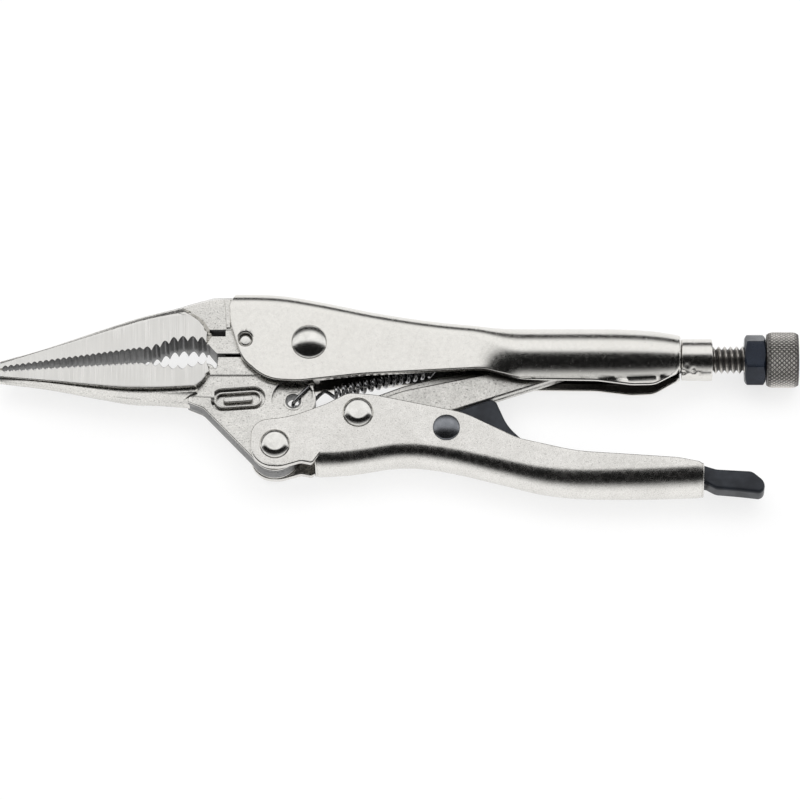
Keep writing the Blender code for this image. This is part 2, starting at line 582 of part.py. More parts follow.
# ---- adjusting screw, its knob and the lock nut ----
def make_screw():
    nut_x = COLLAR_BACK_X + THREAD_SHOWN
    knob_x = nut_x + NUT_LENGTH + JAW_GAP
    end = knob_x + KNOB_LENGTH
    start = LINK_END[0] + LINK_END_RADIUS + LINK_END_GAP
    knob, thread = KNOB_DIAMETER / 2, THREAD_DIAMETER / 2
    profile = [(0, end), (knob - 0.7, end), (knob - 0.25, end - 0.4), (knob, end - 2.2),
               (knob, knob_x + 2.2), (knob - 0.25, knob_x + 0.4), (knob - 0.7, knob_x), (thread, knob_x),
               (thread, start + 1.2), (thread - 1.2, start), (0, start)]
    screw = turned('adjusting_screw', profile, (0, SCREW_AXIS_Y), parts, along='X')
    finish(screw, plain_steel)

    middle = nut_x + NUT_LENGTH / 2
    nut = cylinder('lock_nut', NUT_ACROSS_FLATS / 2 / cos(pi / 6), nut_x, nut_x + NUT_LENGTH,
                   (0, SCREW_AXIS_Y), parts, along='X', sides=6)
    nut.rotation_mode = 'ZYX'
    nut.rotation_euler = (radians(NUT_TURN), pi / 2, 0)
    crown = turned('nut_crown', [(0, NUT_LENGTH / 2 + 0.1), (NUT_ACROSS_FLATS / 2 - 0.5, NUT_LENGTH / 2 + 0.1),
                                 (NUT_ACROSS_FLATS / 2 + 0.8, NUT_LENGTH / 2 - 1.0),
                                 (NUT_ACROSS_FLATS / 2 + 0.8, 1.0 - NUT_LENGTH / 2),
                                 (NUT_ACROSS_FLATS / 2 - 0.5, -NUT_LENGTH / 2 - 0.1),
                                 (0, -NUT_LENGTH / 2 - 0.1)],
                   (middle, SCREW_AXIS_Y), cutters, along='X')
    crown.location.x = middle * MM
    combine(nut, crown, 'INTERSECT')
    combine(nut, cylinder('nut_bore', thread + THREAD_GAP, nut_x - 3, nut_x + NUT_LENGTH + 3,
                          (0, SCREW_AXIS_Y), cutters, along='X'), 'DIFFERENCE')
    finish(nut, blackened)


# ---- tension spring: hooked through the lower jaw, coils up into the upper handle ----
def make_spring():
    start, end = Vector((7.2, -13.3, 0)), Vector((34.0, -6.4, 0))
    run = end - start
    along = run.normalized()
    across = Vector((-along.y, along.x, 0))
    turns, per_turn = 13, 9
    coil = []
    for i in range(turns * per_turn + 1):
        angle = 2 * pi * i / per_turn - pi / 2
        coil.append(start + run * i / (turns * per_turn)
                    + (across * sin(angle) + Vector((0, 0, 1)) * cos(angle)) * COIL_RADIUS)
    hx, hy = SPRING_HOLE
    under = 1.8 + WIRE_RADIUS + 0.2
    hook = [(hx + 4.6, hy + 4.4, under), (hx + 2.6, hy + 2.2, under), (hx + 0.9, hy + 0.3, under - 0.2),
            (hx + 0.1, hy - 0.4, under - 1.0), (hx - 0.1, hy - 0.6, 0), (hx + 0.2, hy - 0.4, -under + 0.9),
            (hx + 1.2, hy - 0.1, -under + 0.1), (hx + 3.5, hy + 0.6, -under - 0.05),
            (hx + 5.6, hy + 1.5, -under - 0.05), (hx + 7.4, hy + 3.4, -under + 0.4),
            (hx + 8.9, hy + 4.4, -1.6), (hx + 10.2, hy + 3.5, -0.9)]
    tail = [end + along * 1.4 - across * 0.7, end + along * 3.2, end + along * 5.0 + across * 1.0]
    points = [Vector(p) for p in hook] + coil + tail
    curve = bpy.data.curves.new('tension_spring', 'CURVE')
    curve.dimensions = '3D'
    curve.bevel_depth = WIRE_RADIUS * MM
    curve.bevel_resolution = 2
    curve.use_fill_caps = True
    spline = curve.splines.new('POLY')
    spline.points.add(len(points) - 1)
    for place, point in zip(spline.points, points):
        place.co = ((point.x - hx) * MM, (point.y - hy) * MM, point.z * MM, 1)
    spring = bpy.data.objects.new('tension_spring', curve)
    spring.location = (hx * MM, hy * MM, 0)
    parts.objects.link(spring)
    curve.materials.append(spring_steel)
    spring.parent = frame


make_upper_handle()
make_upper_jaw()
make_jaw_pin()
make_collar()
make_lower_jaw()
make_rivet('main_rivet', JAW_PIVOT, MAIN_SHANK, 5.1, 2.2, 0, bright_rivet)
make_lower_handle()
make_rivet('jaw_arm_rivet', HANDLE_PIVOT, SIDE_SHANK, 4.35, 1.6, 2.3, bright_rivet)
make_link()
make_rivet('link_rivet', LINK_PIVOT, SIDE_SHANK, 4.4, 1.6, 2.3, bright_rivet)
make_lever()
make_rivet('lever_rivet', LEVER_PIVOT, LEVER_SHANK, 3.85, 1.4, 0, dark_rivet)
make_screw()
make_spring()

# The origin is the middle of the tool's footprint, level with what it lies on.
bpy.context.view_layer.update()
ready = bpy.context.evaluated_depsgraph_get()
places = []
for part in parts.objects:
    if part.type != 'EMPTY':
        shaped = part.evaluated_get(ready)
        places += [shaped.matrix_world @ vertex.co for vertex in shaped.to_mesh().vertices]
lowest = [min(place[i] for place in places) for i in range(3)]
highest = [max(place[i] for place in places) for i in range(3)]
frame.location = (-(lowest[0] + highest[0]) / 2, -(lowest[1] + highest[1]) / 2, -lowest[2])
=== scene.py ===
# Long-nose locking pliers lying on a pale table: jaws to the left, adjusting screw to the right.
# Shapes are written in millimetres from the middle of the main rivet, with z = 0 half way through the tool.
from math import sin, cos, tan, pi, radians, degrees, atan2, sqrt, exp, hypot

import bpy
import bmesh
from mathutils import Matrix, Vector


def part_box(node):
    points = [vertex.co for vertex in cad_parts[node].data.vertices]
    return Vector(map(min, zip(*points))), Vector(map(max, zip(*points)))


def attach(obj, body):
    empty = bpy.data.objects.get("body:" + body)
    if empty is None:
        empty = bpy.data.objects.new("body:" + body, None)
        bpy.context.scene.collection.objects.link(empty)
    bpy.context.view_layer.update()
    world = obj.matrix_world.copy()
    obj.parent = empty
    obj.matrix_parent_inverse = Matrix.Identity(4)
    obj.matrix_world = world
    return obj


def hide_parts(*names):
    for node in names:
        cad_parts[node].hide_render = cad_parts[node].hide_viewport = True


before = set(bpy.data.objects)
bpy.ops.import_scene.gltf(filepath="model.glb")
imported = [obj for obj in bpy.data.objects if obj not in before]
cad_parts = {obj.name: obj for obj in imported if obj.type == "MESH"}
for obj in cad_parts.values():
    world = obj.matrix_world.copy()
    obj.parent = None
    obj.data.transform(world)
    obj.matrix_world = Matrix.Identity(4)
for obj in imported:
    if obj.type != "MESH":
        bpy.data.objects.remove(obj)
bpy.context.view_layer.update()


# ---- upper handle ----
# One piece of 2 mm steel sheet, pressed into a channel with flat cheeks in front and rolled
# into an open tube behind. It is nickel plated over a fine blasted grain, so it has a satin face.

rivet_low, rivet_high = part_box("main_rivet")
PIVOT = (rivet_low + rivet_high) / 2


def piece(name, points, faces, material, smooth=30):
    """Mesh object from points in millimetres about the main rivet; faces may end in a material number."""
    build = bmesh.new()
    verts = [build.verts.new(PIVOT + Vector(p) * 0.001) for p in points]
    for face in faces:
        number = 0
        if isinstance(face, tuple):
            face, number = face
        if len(set(face)) > 2:
            build.faces.new([verts[i] for i in face]).material_index = number
    bmesh.ops.remove_doubles(build, verts=build.verts, dist=2e-6)
    bmesh.ops.recalc_face_normals(build, faces=build.faces)
    mesh = bpy.data.meshes.new(name)
    build.to_mesh(mesh)
    build.free()
    return dress(name, mesh, material, smooth)


def dress(name, mesh, material, smooth=30):
    """Object with its material, smooth faces, and edges left sharp above an angle."""
    for coat in material if isinstance(material, list) else [material]:
        mesh.materials.append(coat)
    mesh.shade_smooth()
    mesh.set_sharp_from_angle(angle=radians(smooth))
    made = bpy.data.objects.new(name, mesh)
    bpy.context.scene.collection.objects.link(made)
    made.modifiers.new("even_flats", "WEIGHTED_NORMAL").keep_sharp = True
    return made


def mount(made, node, body):
    """The finished piece stands for a CAD node and moves with its body."""
    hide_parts(node)
    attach(made, body)


def rounded(corners, step=5):
    """Closed outline through corners (x, y) or (x, y, r), where r turns the corner into an arc."""
    points = []
    for i, corner in enumerate(corners):
        here = Vector(corner[:2])
        if len(corner) == 2:
            points.append(tuple(here))
            continue
        radius = corner[2]
        before = (Vector(corners[i - 1][:2]) - here).normalized()
        after = (Vector(corners[(i + 1) % len(corners)][:2]) - here).normalized()
        inside = before.angle(after)
        centre = here + (before + after).normalized() * radius / sin(inside / 2)
        first = here + before * radius / tan(inside / 2) - centre
        last = here + after * radius / tan(inside / 2) - centre
        start = atan2(first.y, first.x)
        sweep = (atan2(last.y, last.x) - start + pi) % (2 * pi) - pi
        steps = max(3, int(abs(degrees(sweep)) / step) + 1)
        for k in range(steps + 1):
            angle = start + sweep * k / steps
            points.append((centre.x + radius * cos(angle), centre.y + radius * sin(angle)))
    return points


def smooth_line(*knots):
    """A function that runs smoothly through the knots (x, y)."""
    slopes = []
    for i in range(len(knots)):
        a, b = knots[max(0, i - 1)], knots[min(len(knots) - 1, i + 1)]
        slopes.append((b[1] - a[1]) / (b[0] - a[0]))

    def value(x):
        i = 0
        while i < len(knots) - 2 and x > knots[i + 1][0]:
            i += 1
        (x0, y0), (x1, y1) = knots[i], knots[i + 1]
        t, span = (x - x0) / (x1 - x0), x1 - x0
        return (y0 * (1 + 2 * t) * (1 - t) ** 2 + slopes[i] * span * t * (1 - t) ** 2
                + y1 * t * t * (3 - 2 * t) + slopes[i + 1] * span * t * t * (t - 1))
    return value


def ease(a, b, x):
    t = min(1, max(0, (x - a) / (b - a)))
    return t * t * (3 - 2 * t)


def walk(line, spacing):
    """Evenly spaced (x, y, inward x, inward y, way along) on a line that keeps the piece on its left."""
    lengths = [0]
    for a, b in zip(line, line[1:]):
        lengths.append(lengths[-1] + hypot(b[0] - a[0], b[1] - a[1]))
    count = int(lengths[-1] / spacing)
    steps, i = [], 0
    for k in range(count + 1):
        at = lengths[-1] * k / count
        while i < len(line) - 2 and lengths[i + 1] < at:
            i += 1
        (ax, ay), (bx, by) = line[i], line[i + 1]
        span = lengths[i + 1] - lengths[i]
        t = (at - lengths[i]) / span
        steps.append((ax + (bx - ax) * t, ay + (by - ay) * t, -(by - ay) / span, (bx - ax) / span, at))
    return steps


def folded_sheet(name, spots, section, sheet, rim, material):
    """Sheet folded along a back: each spot is (edge x, edge y, inward x, inward y, back x).
    section(x, way, inset) gives (y, z), with way from 0 low on the cheek to 1 at the middle of the back."""
    rows = 30

    def ring(spot, shrink):
        ex, ey, nx, ny, back = spot

        def lip(inset, edge):
            x, y = ex + nx * edge, ey + ny * edge
            low, high = 0.0, 1.0
            rising = section(back, 1, inset)[0] > section(back, 0, inset)[0]
            for _ in range(26):
                middle = (low + high) / 2
                if (section(back, middle, inset)[0] < y) == rising:
                    low = middle
                else:
                    high = middle
            return x, y, low

        def half(inset, edge):
            x0, y0, start = lip(inset, edge)
            end_y = section(back, 1, inset)[0]
            places = []
            for i in range(rows + 1):
                y, z = section(back, start + (1 - start) * i / rows, inset)
                share = min(1, max(0, (y - y0) / (end_y - y0))) if abs(end_y - y0) > 1e-6 else 1
                places.append((x0 + (back - x0) * share, y, z))
            return places

        outer = half(shrink, rim)
        turn = []
        for k in range(1, 5):
            a = pi / 2 * k / 4
            inset, edge = rim - (rim - shrink) * cos(a), rim - (rim - shrink) * sin(a)
            x, y, way = lip(inset, edge)
            turn.append((x, y, section(back, way, inset)[1]))
        for k in range(4):
            a = pi / 2 * k / 4
            inset, edge = sheet - rim + (rim - shrink) * sin(a), rim - (rim - shrink) * cos(a)
            x, y, way = lip(inset, edge)
            turn.append((x, y, section(back, way, inset)[1]))
        inner = half(sheet - shrink, rim)
        front = outer[::-1] + turn + inner
        return front + [(x, y, -z) for x, y, z in front[-2:0:-1]]

    rings = [ring(spot, shrink) for spot, shrink in spots]
    count, half_count = len(rings[0]), 2 * rows + 10
    points = [p for r in rings for p in r]
    # The inner faces of the sheet take the second material, which is painted shade.
    shade_painted = rows + 9
    faces = [([r * count + i, r * count + (i + 1) % count, (r + 1) * count + (i + 1) % count,
               (r + 1) * count + i], 1 if shade_painted <= i < count - shade_painted else 0)
             for r in range(len(rings) - 1) for i in range(count)]
    for r in (0, len(rings) - 1):
        base = r * count
        for i in range(rows):
            o, n = i, half_count - 1 - i
            faces.append([base + o, base + o + 1, base + n - 1, base + n])
            faces.append([base + (count - o) % count, base + count - o - 1, base + count - n + 1,
                          base + (count - n) % count])
        faces.append([base + i for i in range(rows, half_count - rows)])
        faces.append([base + (count - i) % count for i in range(rows, half_count - rows)])
    return piece(name, points, faces, material, 40)


class Wire:
    """An output in a material's node tree; sums and products of wires add Math nodes."""

    def __init__(self, tree, socket):
        self.tree, self.socket = tree, socket

    def node(self, kind, settings, values, out=0):
        """Another node: its type, its settings, and the values or wires of its inputs."""
        made = self.tree.nodes.new(kind)
        for name, value in settings.items():
            if name == "stops":
                ramp = made.color_ramp.elements
                while len(ramp) < len(value):
                    ramp.new(0.5)
                for stop, (place, colour) in zip(ramp, value):
                    stop.position, stop.color = place, (*colour, 1)
            else:
                setattr(made, name, value)
        for name, value in values.items():
            if isinstance(value, Wire):
                self.tree.links.new(value.socket, made.inputs[name])
            else:
                made.inputs[name].default_value = value
        return Wire(self.tree, made.outputs[out])

    def math(self, operation, a, b):
        return self.node("ShaderNodeMath", {"operation": operation}, {0: a, 1: b})

    def __add__(self, other):
        return self.math("ADD", self, other)

    def __radd__(self, other):
        return self.math("ADD", other, self)

    def __sub__(self, other):
        return self.math("SUBTRACT", self, other)

    def __rsub__(self, other):
        return self.math("SUBTRACT", other, self)

    def __mul__(self, other):
        return self.math("MULTIPLY", self, other)

    def __rmul__(self, other):
        return self.math("MULTIPLY", other, self)

    def noise(self, size, detail=2.0, stretch=(1, 1, 1)):
        """Noise whose patches are about size millimetres across."""
        where = self.node("ShaderNodeVectorMath", {"operation": "MULTIPLY"},
                          {0: self, 1: tuple(1000 / size / s for s in stretch)})
        return self.node("ShaderNodeTexNoise", {}, {"Vector": where, "Scale": 1.0, "Detail": detail})

    def step(self, low, high, start=0.0, end=1.0):
        """A smooth change from start to end while the wire goes from low to high."""
        return self.node("ShaderNodeMapRange", {"interpolation_type": "SMOOTHSTEP"},
                         {"Value": self, "From Min": low, "From Max": high, "To Min": start, "To Max": end})

    def mix(self, a, b):
        """Colour a where the wire is 0 and b where it is 1."""
        return self.node("ShaderNodeMix", {"data_type": "RGBA"},
                         {"Factor": self, 6: a if isinstance(a, Wire) else (*a, 1),
                          7: b if isinstance(b, Wire) else (*b, 1)}, 2)


def coat(name, metallic=1.0):
    """New material: its shader, and a wire that gives the place on the object in metres."""
    made = bpy.data.materials.new(name)
    made.use_nodes = True
    tree = made.node_tree
    shader = tree.nodes["Principled BSDF"]
    shader.inputs["Metallic"].default_value = metallic
    place = Wire(tree, tree.nodes.new("ShaderNodeTexCoord").outputs["Object"])
    return made, shader, place


def feed(shader, colour, roughness, height, depth):
    """Joins colour, roughness and a bump of a depth in millimetres to the shader."""
    tree = shader.id_data
    tree.links.new(colour.socket, shader.inputs["Base Color"])
    tree.links.new(roughness.socket, shader.inputs["Roughness"])
    bump = height.node("ShaderNodeBump", {}, {"Strength": 1.0, "Distance": depth * 0.001, "Height": height})
    tree.links.new(bump.socket, shader.inputs["Normal"])


def plated(name, light, dark, grain, depth, roughness, pits):
    """Nickel plate over blasted steel: grain size and depth in millimetres, and how much it is pitted."""
    made, shader, place = coat(name)
    fine, coarse, cloud = place.noise(grain, 4), place.noise(grain * 3.4, 2), place.noise(9, 2)
    pit = place.noise(grain * 1.3, 2).step(0.60, 0.72)
    shade = cloud.step(0.3, 0.7, 0.0, 0.4) + fine.step(0.38, 0.64, 0.0, 0.6)
    colour = (pit * pits).mix(shade.mix(light, dark), tuple(c * 0.45 for c in dark))
    rough = coarse.step(0.25, 0.75, roughness - 0.035, roughness + 0.045)
    feed(shader, colour, rough, fine * 0.6 + coarse * 0.9 - pit * pits, depth)
    return made


HALF, SHEET, RIM = 6.0, 2.0, 0.45
AXIS_Y, TUBE = -3.2, 8.8
upper_back = smooth_line((-25, 16.25), (-9, 15.9), (3, 13.9), (20, 10.3), (38, 7.5), (56, 6.0), (70, 5.8))
tube_radius = smooth_line((40, TUBE), (86, TUBE), (96, TUBE - 0.4), (102, TUBE - 1.1), (107, TUBE - 2.1),
                          (109.5, TUBE - 2.7))
upper_end = 106.1


def upper_section(x, way, inset):
    w, bend, radius = way * 10, 5.0, tube_radius(x) - inset
    back = upper_back(x)
    if w < 4:
        flat = (-14 + w / 4 * (back - bend + 14), HALF - inset)
    elif w < 9.7:
        a = (w - 4) / 5.7 * pi / 2
        flat = (back - bend + (bend - inset) * sin(a), HALF - bend + (bend - inset) * cos(a))
    else:
        flat = (back - inset, (HALF - bend) * (10 - w) / 0.3)
    low = radians(-58)
    if w < 1:
        tube = (AXIS_Y - 11 + w * (11 + radius * sin(low)), radius * cos(low))
    else:
        a = low + (w - 1) / 9 * (pi / 2 - low)
        tube = (AXIS_Y + radius * sin(a), radius * cos(a))
    rolled = ease(46, 61, x)
    return flat[0] + (tube[0] - flat[0]) * rolled, flat[1] + (tube[1] - flat[1]) * rolled


outline = rounded([(-19.4, 19.0), (-22.9, 13.0, 1.5), (-22.5, 5.5, 22), (-19.2, -5.2, 10),
                   (-12.3, -11.5, 12), (-3, -12.0, 18), (15, -9.9, 60), (49.5, -8.0, 12),
                   (60, -10.9, 12), (82, -11.2, 20), (92, -12.5, 8), (98.5, -12.3, 6),
                   (upper_end, -7.96), (112, -7.5), (112, 19.0)], 4)
edge_line = outline[1:next(i for i, (x, y) in enumerate(outline) if x > upper_end - 0.01) + 1]
spots = []
for x, y, nx, ny, at in walk(edge_line, 0.7):
    along = at / 46
    back = -21.0 + 26.0 * along ** 1.35 if along < 1 else x
    spots.append((x, y, nx, ny, max(back, x)))
join = next(i for i, spot in enumerate(spots) if spot[4] <= spot[0] + 1e-6 and i > 20)
JOIN_STEPS = 24
begin = join - JOIN_STEPS
for i in range(begin, join):
    x, y, nx, ny, _ = spots[i]
    back = spots[begin][4] + (spots[join][4] - spots[begin][4]) * (i - begin) / JOIN_STEPS
    spots[i] = (x, y, nx, ny, max(x, back))
first, last = spots[0], spots[-1]
ends = []
for k in range(5):
    a = pi / 2 * k / 4
    ends.append((RIM * (1 - sin(a)), RIM * (1 - cos(a))))


def nudge(spot, dx, dy):
    return spot[0] + dx, spot[1] + dy, spot[2], spot[3], spot[4] + dx


front = [(nudge(first, 0, 0), RIM)] + [(nudge(first, (RIM - s) * 0.9, -(RIM - s) * 0.5), RIM - d)
                                       for s, d in ends[1:-1]]
rear = [(nudge(last, -s, s * 0.6), d) for s, d in ends]
upper_nickel = plated("satin_nickel", (0.82, 0.805, 0.77), (0.76, 0.745, 0.71), 0.30, 0.008, 0.23, 0.12)
# A far darker, rougher copy of the plating for the inside of the channels: the dark colour is painted shade
# where the cheeks keep out the light.
channel_shade_nickel = plated("painted_shade_inside", (0.22, 0.215, 0.205), (0.14, 0.137, 0.13), 0.5, 0.02, 0.45, 0.3)
upper = folded_sheet("upper_handle_sheet", front + [(spot, 0) for spot in spots[2:-2]] + rear,
                     upper_section, SHEET, RIM, [upper_nickel, channel_shade_nickel])


def spun(name, profile, material, centre, along="Z", segments=96, radius=None, smooth=30):
    """Turned piece from a profile of (radius, height); radius(r, h, angle) may change it around the axis."""
    points, faces = [], []
    for r, h in profile:
        for k in range(segments):
            a = 2 * pi * k / segments
            reach = radius(r, h, a) if radius else r
            u, v = reach * cos(a), reach * sin(a)
            points.append((h, centre[1] + u, v) if along == "X" else (centre[0] + u, centre[1] + v, h))
    for i in range(len(profile) - 1):
        for k in range(segments):
            a, b = i * segments + k, i * segments + (k + 1) % segments
            faces.append([a, b, b + segments, a + segments])
    if profile[0][0] > 0:
        last_row = (len(profile) - 1) * segments
        for k in range(segments):
            faces.append([last_row + k, last_row + (k + 1) % segments, (k + 1) % segments, k])
    return piece(name, points, faces, material, smooth)


def cut(made, other):
    """Takes the shape of other out of a piece."""
    step = made.modifiers.new("cut", "BOOLEAN")
    step.operation, step.object = "DIFFERENCE", other
    made.modifiers.move(len(made.modifiers) - 1, 0)
    bpy.context.view_layer.update()
    mesh = bpy.data.meshes.new_from_object(made.evaluated_get(bpy.context.evaluated_depsgraph_get()))
    made.modifiers.remove(step)
    made.data = mesh
    bpy.data.objects.remove(other)


PIN = (-18.2, 0.9)
flare = [(0, 8), (3.0, 8), (3.0, 6.05), (2.5, 6.0), (2.22, 5.9), (2.05, 5.7), (2.0, 5.45), (2.0, 3)]
hole = spun("pin_hole", flare + [(r, -h) for r, h in reversed(flare)], upper_nickel, PIN)
cut(upper, hole)
mount(upper, "upper_handle", "upper_body")

# ---- upper jaw ----
# A drop-forged nose that stays fixed between the cheeks of the upper handle. The sides of the nose
# are ground flat, fine teeth run to the tip and coarse ones are cut around an arch behind them.
NOSE_TIP, NOSE_BACK, NOSE_LONG = -88.8, -29.0, 59.8
TANG = 3.7


def teeth(start, line, end, pitch, deep, way):
    """Scalloped grooves along a line: points (x, y, x of the crest line)."""
    points, count = [], int((end - start) / pitch)
    for i in range(count):
        for k in range(8):
            x = start + (i + k / 8) * pitch
            points.append((x, line(x) + way * deep * (1 - abs(2 * k / 8 - 1) ** 1.6), x))
    return points


def coarse_teeth(roots, deep):
    """Rounded grooves through the given root points, with crests deep away from the roots."""
    crests = [((roots[0][0] * 3 - roots[1][0]) / 2, (roots[0][1] * 3 - roots[1][1]) / 2)]
    crests += [((a[0] + b[0]) / 2, (a[1] + b[1]) / 2) for a, b in zip(roots, roots[1:])]
    crests.append((roots[-1][0] + 0.9, roots[-1][1]))
    points = []
    for i in range(len(roots)):
        (ax, ay), (bx, by) = crests[i], crests[i + 1]
        for k in range(14):
            f = k / 14
            swell = 1 - abs(2 * f - 1) ** 1.7
            near = deep * (0.35 + 0.65 * f) if i == 0 else deep
            x, y = ax + (bx - ax) * f, ay + (by - ay) * f - near
            line = roots[i][1] - ((ay + by) / 2 - (deep * 0.675 if i == 0 else deep))
            points.append((x, y + line * swell, x))
    points.append((crests[-1][0], crests[-1][1] - deep, crests[-1][0]))
    return points


def nose(way, bite, calm, flat, ridge, arch, level, tail, floor, slot=None):
    """Points and faces of a nose: the bite line, ground flats ending at an arc, slanted shoulders, neck.
    calm is a line clear of the grooves and arch is the arc's (x, y, radius). tail holds the bite points
    behind it, floor is the neck's half thickness, and slot is a groove's (low y, high y, depth)."""
    cx, cy, radius = arch
    left = cx - 8.5

    def bow(y, r):
        return cx + sqrt(max(r * r - (y - cy) ** 2, 0.01))

    def ring(xt, yt, xb, share, r, cap, deep, end=None, tip=0.0):
        """share: how far the station follows the arc; cap: largest half thickness; end: x of the neck."""
        full = bow(level, r) - left

        def where(y):
            if end is not None:
                x1, m = end
                return bow(y, r) * (1 - m) + x1 * m
            return xb if share <= 0 else left + (bow(y, r) - left) * min(1, (xb - left) / full)

        def settle(line):
            x = xb
            for _ in range(4):
                x = where(line(x))
            return x, line(x)

        fx, fy = settle(flat)
        rx, ry = settle(ridge)

        def thick(x):
            taper = min(1, max(0, (x - NOSE_TIP) / (NOSE_LONG * 0.67)))
            return (3.5 + 8.0 * taper) / 2, 0.12 + 0.8 * taper, 0.8 + 0.8 * taper

        half, proud = thick(fx)[:2]
        half_t = thick(xt)[0]
        if slot and (end is not None or share >= 1):
            low_y, high_y = slot[0], slot[1]
        else:
            low_y = calm(xb)
            high_y = low_y + 0.4 * (fy - low_y)
        trim = 0.14
        step = 0.25 + proud * (0.6 if way > 0 else 1.5)
        side = [(xt, yt, half_t - trim), (xt + (fx - xt) * 0.02, yt + way * trim, half_t),
                (where(low_y), low_y, half),
                (where(low_y), low_y + (high_y - low_y) * (0.12 if deep else 0.3), half - deep),
                (where(high_y), low_y + (high_y - low_y) * (0.35 if deep else 0.6), half - deep),
                (where(high_y), high_y, half),
                (where(high_y * 0.55 + fy * 0.45), high_y * 0.55 + fy * 0.45, half),
                (where(high_y * 0.2 + fy * 0.8), high_y * 0.2 + fy * 0.8, half),
                (fx, fy - way * 0.2, half), (fx, fy - way * 0.05, half - 0.05), (fx, fy, half - 0.22),
                (fx, fy + way * 0.08, half - step)]
        crown, share_here = thick(rx)[2], min(1, max(0, (fx - NOSE_TIP) / (NOSE_LONG * 0.67)))
        groove = 0.08 + (0.05 if way > 0 else 1.1 * share_here ** 1.5)
        side.append((fx, fy + way * groove, half - step * 0.97))
        start, top = fy + way * (groove + 0.12), half - step * (0.9 if way > 0 else 0.62)
        side.append((fx, start, top))
        for k in range(1, 6):
            t = k / 6
            drop = 0.24 * t / 0.6 if t < 0.6 else 0.24 + 0.76 * ((t - 0.6) / 0.4) ** 1.2
            if way < 0:
                drop = 0.35 * t + 0.65 * t ** 2
            side.append((fx + (rx - fx) * t, start + (ry - way * 0.4 - start) * t,
                         top + (crown + 0.15 - top) * drop))
        side += [(rx, ry - way * 0.35, crown + 0.1), (rx, ry - way * 0.1, crown - 0.15),
                 (rx, ry, crown - 0.5)]
        side = [(x, y, min(z, cap - (deep if 3 <= i <= 4 else 0)) if cap < 9 else z)
                for i, (x, y, z) in enumerate(side)]
        if tip:
            mid = (yt + ry) / 2
            side = [(x, mid + (y - mid) * (1 - tip), z * (1 - tip)) for x, y, z in side]
        return side + [(x, y, -z) for x, y, z in reversed(side)]

    rings = []
    for run, drawn_in in ((0, 0.22), (0.12, 0.07), (0.35, 0)):
        rings.append(ring(NOSE_TIP + run, bite[0][1], NOSE_TIP + run, 0, radius, 9, 0, tip=drawn_in))
    last_b = bow(level, radius - 0.4)
    for x, y, b in bite:
        rings.append(ring(x, y, b, 1 if b > left else 0, radius - 0.4, 9, 0) if b < last_b - 0.05
                     else ring(x, y, last_b, 0.99, radius - 0.4, 9, 0))
    x, y = bite[-1][:2]
    ground = len(rings)
    for r, z in ((-0.4, 5.75), (-0.2, 5.72), (-0.06, 5.6), (0.0, 5.4), (0.3, floor - 0.2),
                 (0.5, floor - 0.45), (0.9, floor - 0.3), (1.25, floor)):
        rings.append(ring(x + 0.1, y, bow(level, radius + r), 1, radius + r, z, 0))
    for tx, ty, m in tail:
        rings.append(ring(tx, ty, tx, 1, radius + 1.3, floor, slot[2] if slot else 0, end=(tail[-1][0], m)))
    count = len(rings[0])
    points = [p for r in rings for p in r]
    faces = []
    for r in range(len(rings) - 1):
        for i in range(count):
            quad = [r * count + i, r * count + (i + 1) % count,
                    (r + 1) * count + (i + 1) % count, (r + 1) * count + i]
            mirrored = count - 1 - i if i >= count // 2 else i + 1
            polished = 2 <= mirrored <= 8 and r < ground + 1
            # Faces of the bite and of the slot take the third material, painted shade.
            shade_painted = i in (count - 1, 0, count - 2) and r > 2
            slotted = slot and mirrored in (3, 4, 5) and r > ground + 6
            faces.append((quad, 2 if shade_painted or slotted else 1 if polished else 0))
    faces.append((list(range(count)), 0))
    faces.append(([(len(rings) - 1) * count + i for i in range(count)], 0))
    return points, faces


def plate(outlines, low, high, bevel, number=0):
    """Mesh of a flat piece with rounded edges; outlines after the first are openings in it."""
    curve = bpy.data.curves.new("outline", "CURVE")
    curve.dimensions, curve.fill_mode, curve.bevel_resolution = "2D", "BOTH", 3
    curve.bevel_depth, curve.offset = bevel, -bevel
    curve.extrude = (high - low) / 2 - bevel
    for line in outlines:
        spline = curve.splines.new("POLY")
        spline.points.add(len(line) - 1)
        for point, (x, y) in zip(spline.points, line):
            point.co = (x, y, 0, 1)
        spline.use_cyclic_u = True
    draft = bpy.data.objects.new("outline", curve)
    bpy.context.scene.collection.objects.link(draft)
    bpy.context.view_layer.update()
    mesh = bpy.data.meshes.new_from_object(draft.evaluated_get(bpy.context.evaluated_depsgraph_get()))
    bpy.data.objects.remove(draft)
    points = [(v.co.x, v.co.y, v.co.z + (low + high) / 2) for v in mesh.vertices]
    return points, [(list(face.vertices), number) for face in mesh.polygons]


def together(name, shapes, material, smooth=30):
    """One piece from several closed shapes given as (points, faces)."""
    points, faces = [], []
    for shape_points, shape_faces in shapes:
        start = len(points)
        points += shape_points
        faces += [([i + start for i in face], number) for face, number in shape_faces]
    return piece(name, points, faces, material, smooth)


def ring_line(centre, radius, steps=48):
    return [(centre[0] + radius * cos(2 * pi * i / steps), centre[1] + radius * sin(2 * pi * i / steps))
            for i in range(steps)]


def bend_line(centre, radius, start, end, steps):
    return [(centre[0] + radius * cos(radians(start + (end - start) * i / steps)),
             centre[1] + radius * sin(radians(start + (end - start) * i / steps))) for i in range(steps + 1)]


def ground_steel(name, light, dark):
    """Nickel on ground steel: fine scratches across the nose, a little darker cloud between them."""
    made, shader, place = coat(name)
    marks, cloud = place.noise(0.22, 3, (1, 60, 60)), place.noise(7, 2)
    fine = place.noise(0.3, 2)
    shade = marks.step(0.3, 0.7, 0.0, 0.5) + cloud.step(0.3, 0.7, 0.0, 0.5)
    feed(shader, shade.mix(light, dark), marks.step(0.3, 0.7, 0.27, 0.37), marks * 0.8 + fine * 0.3, 0.004)
    return made


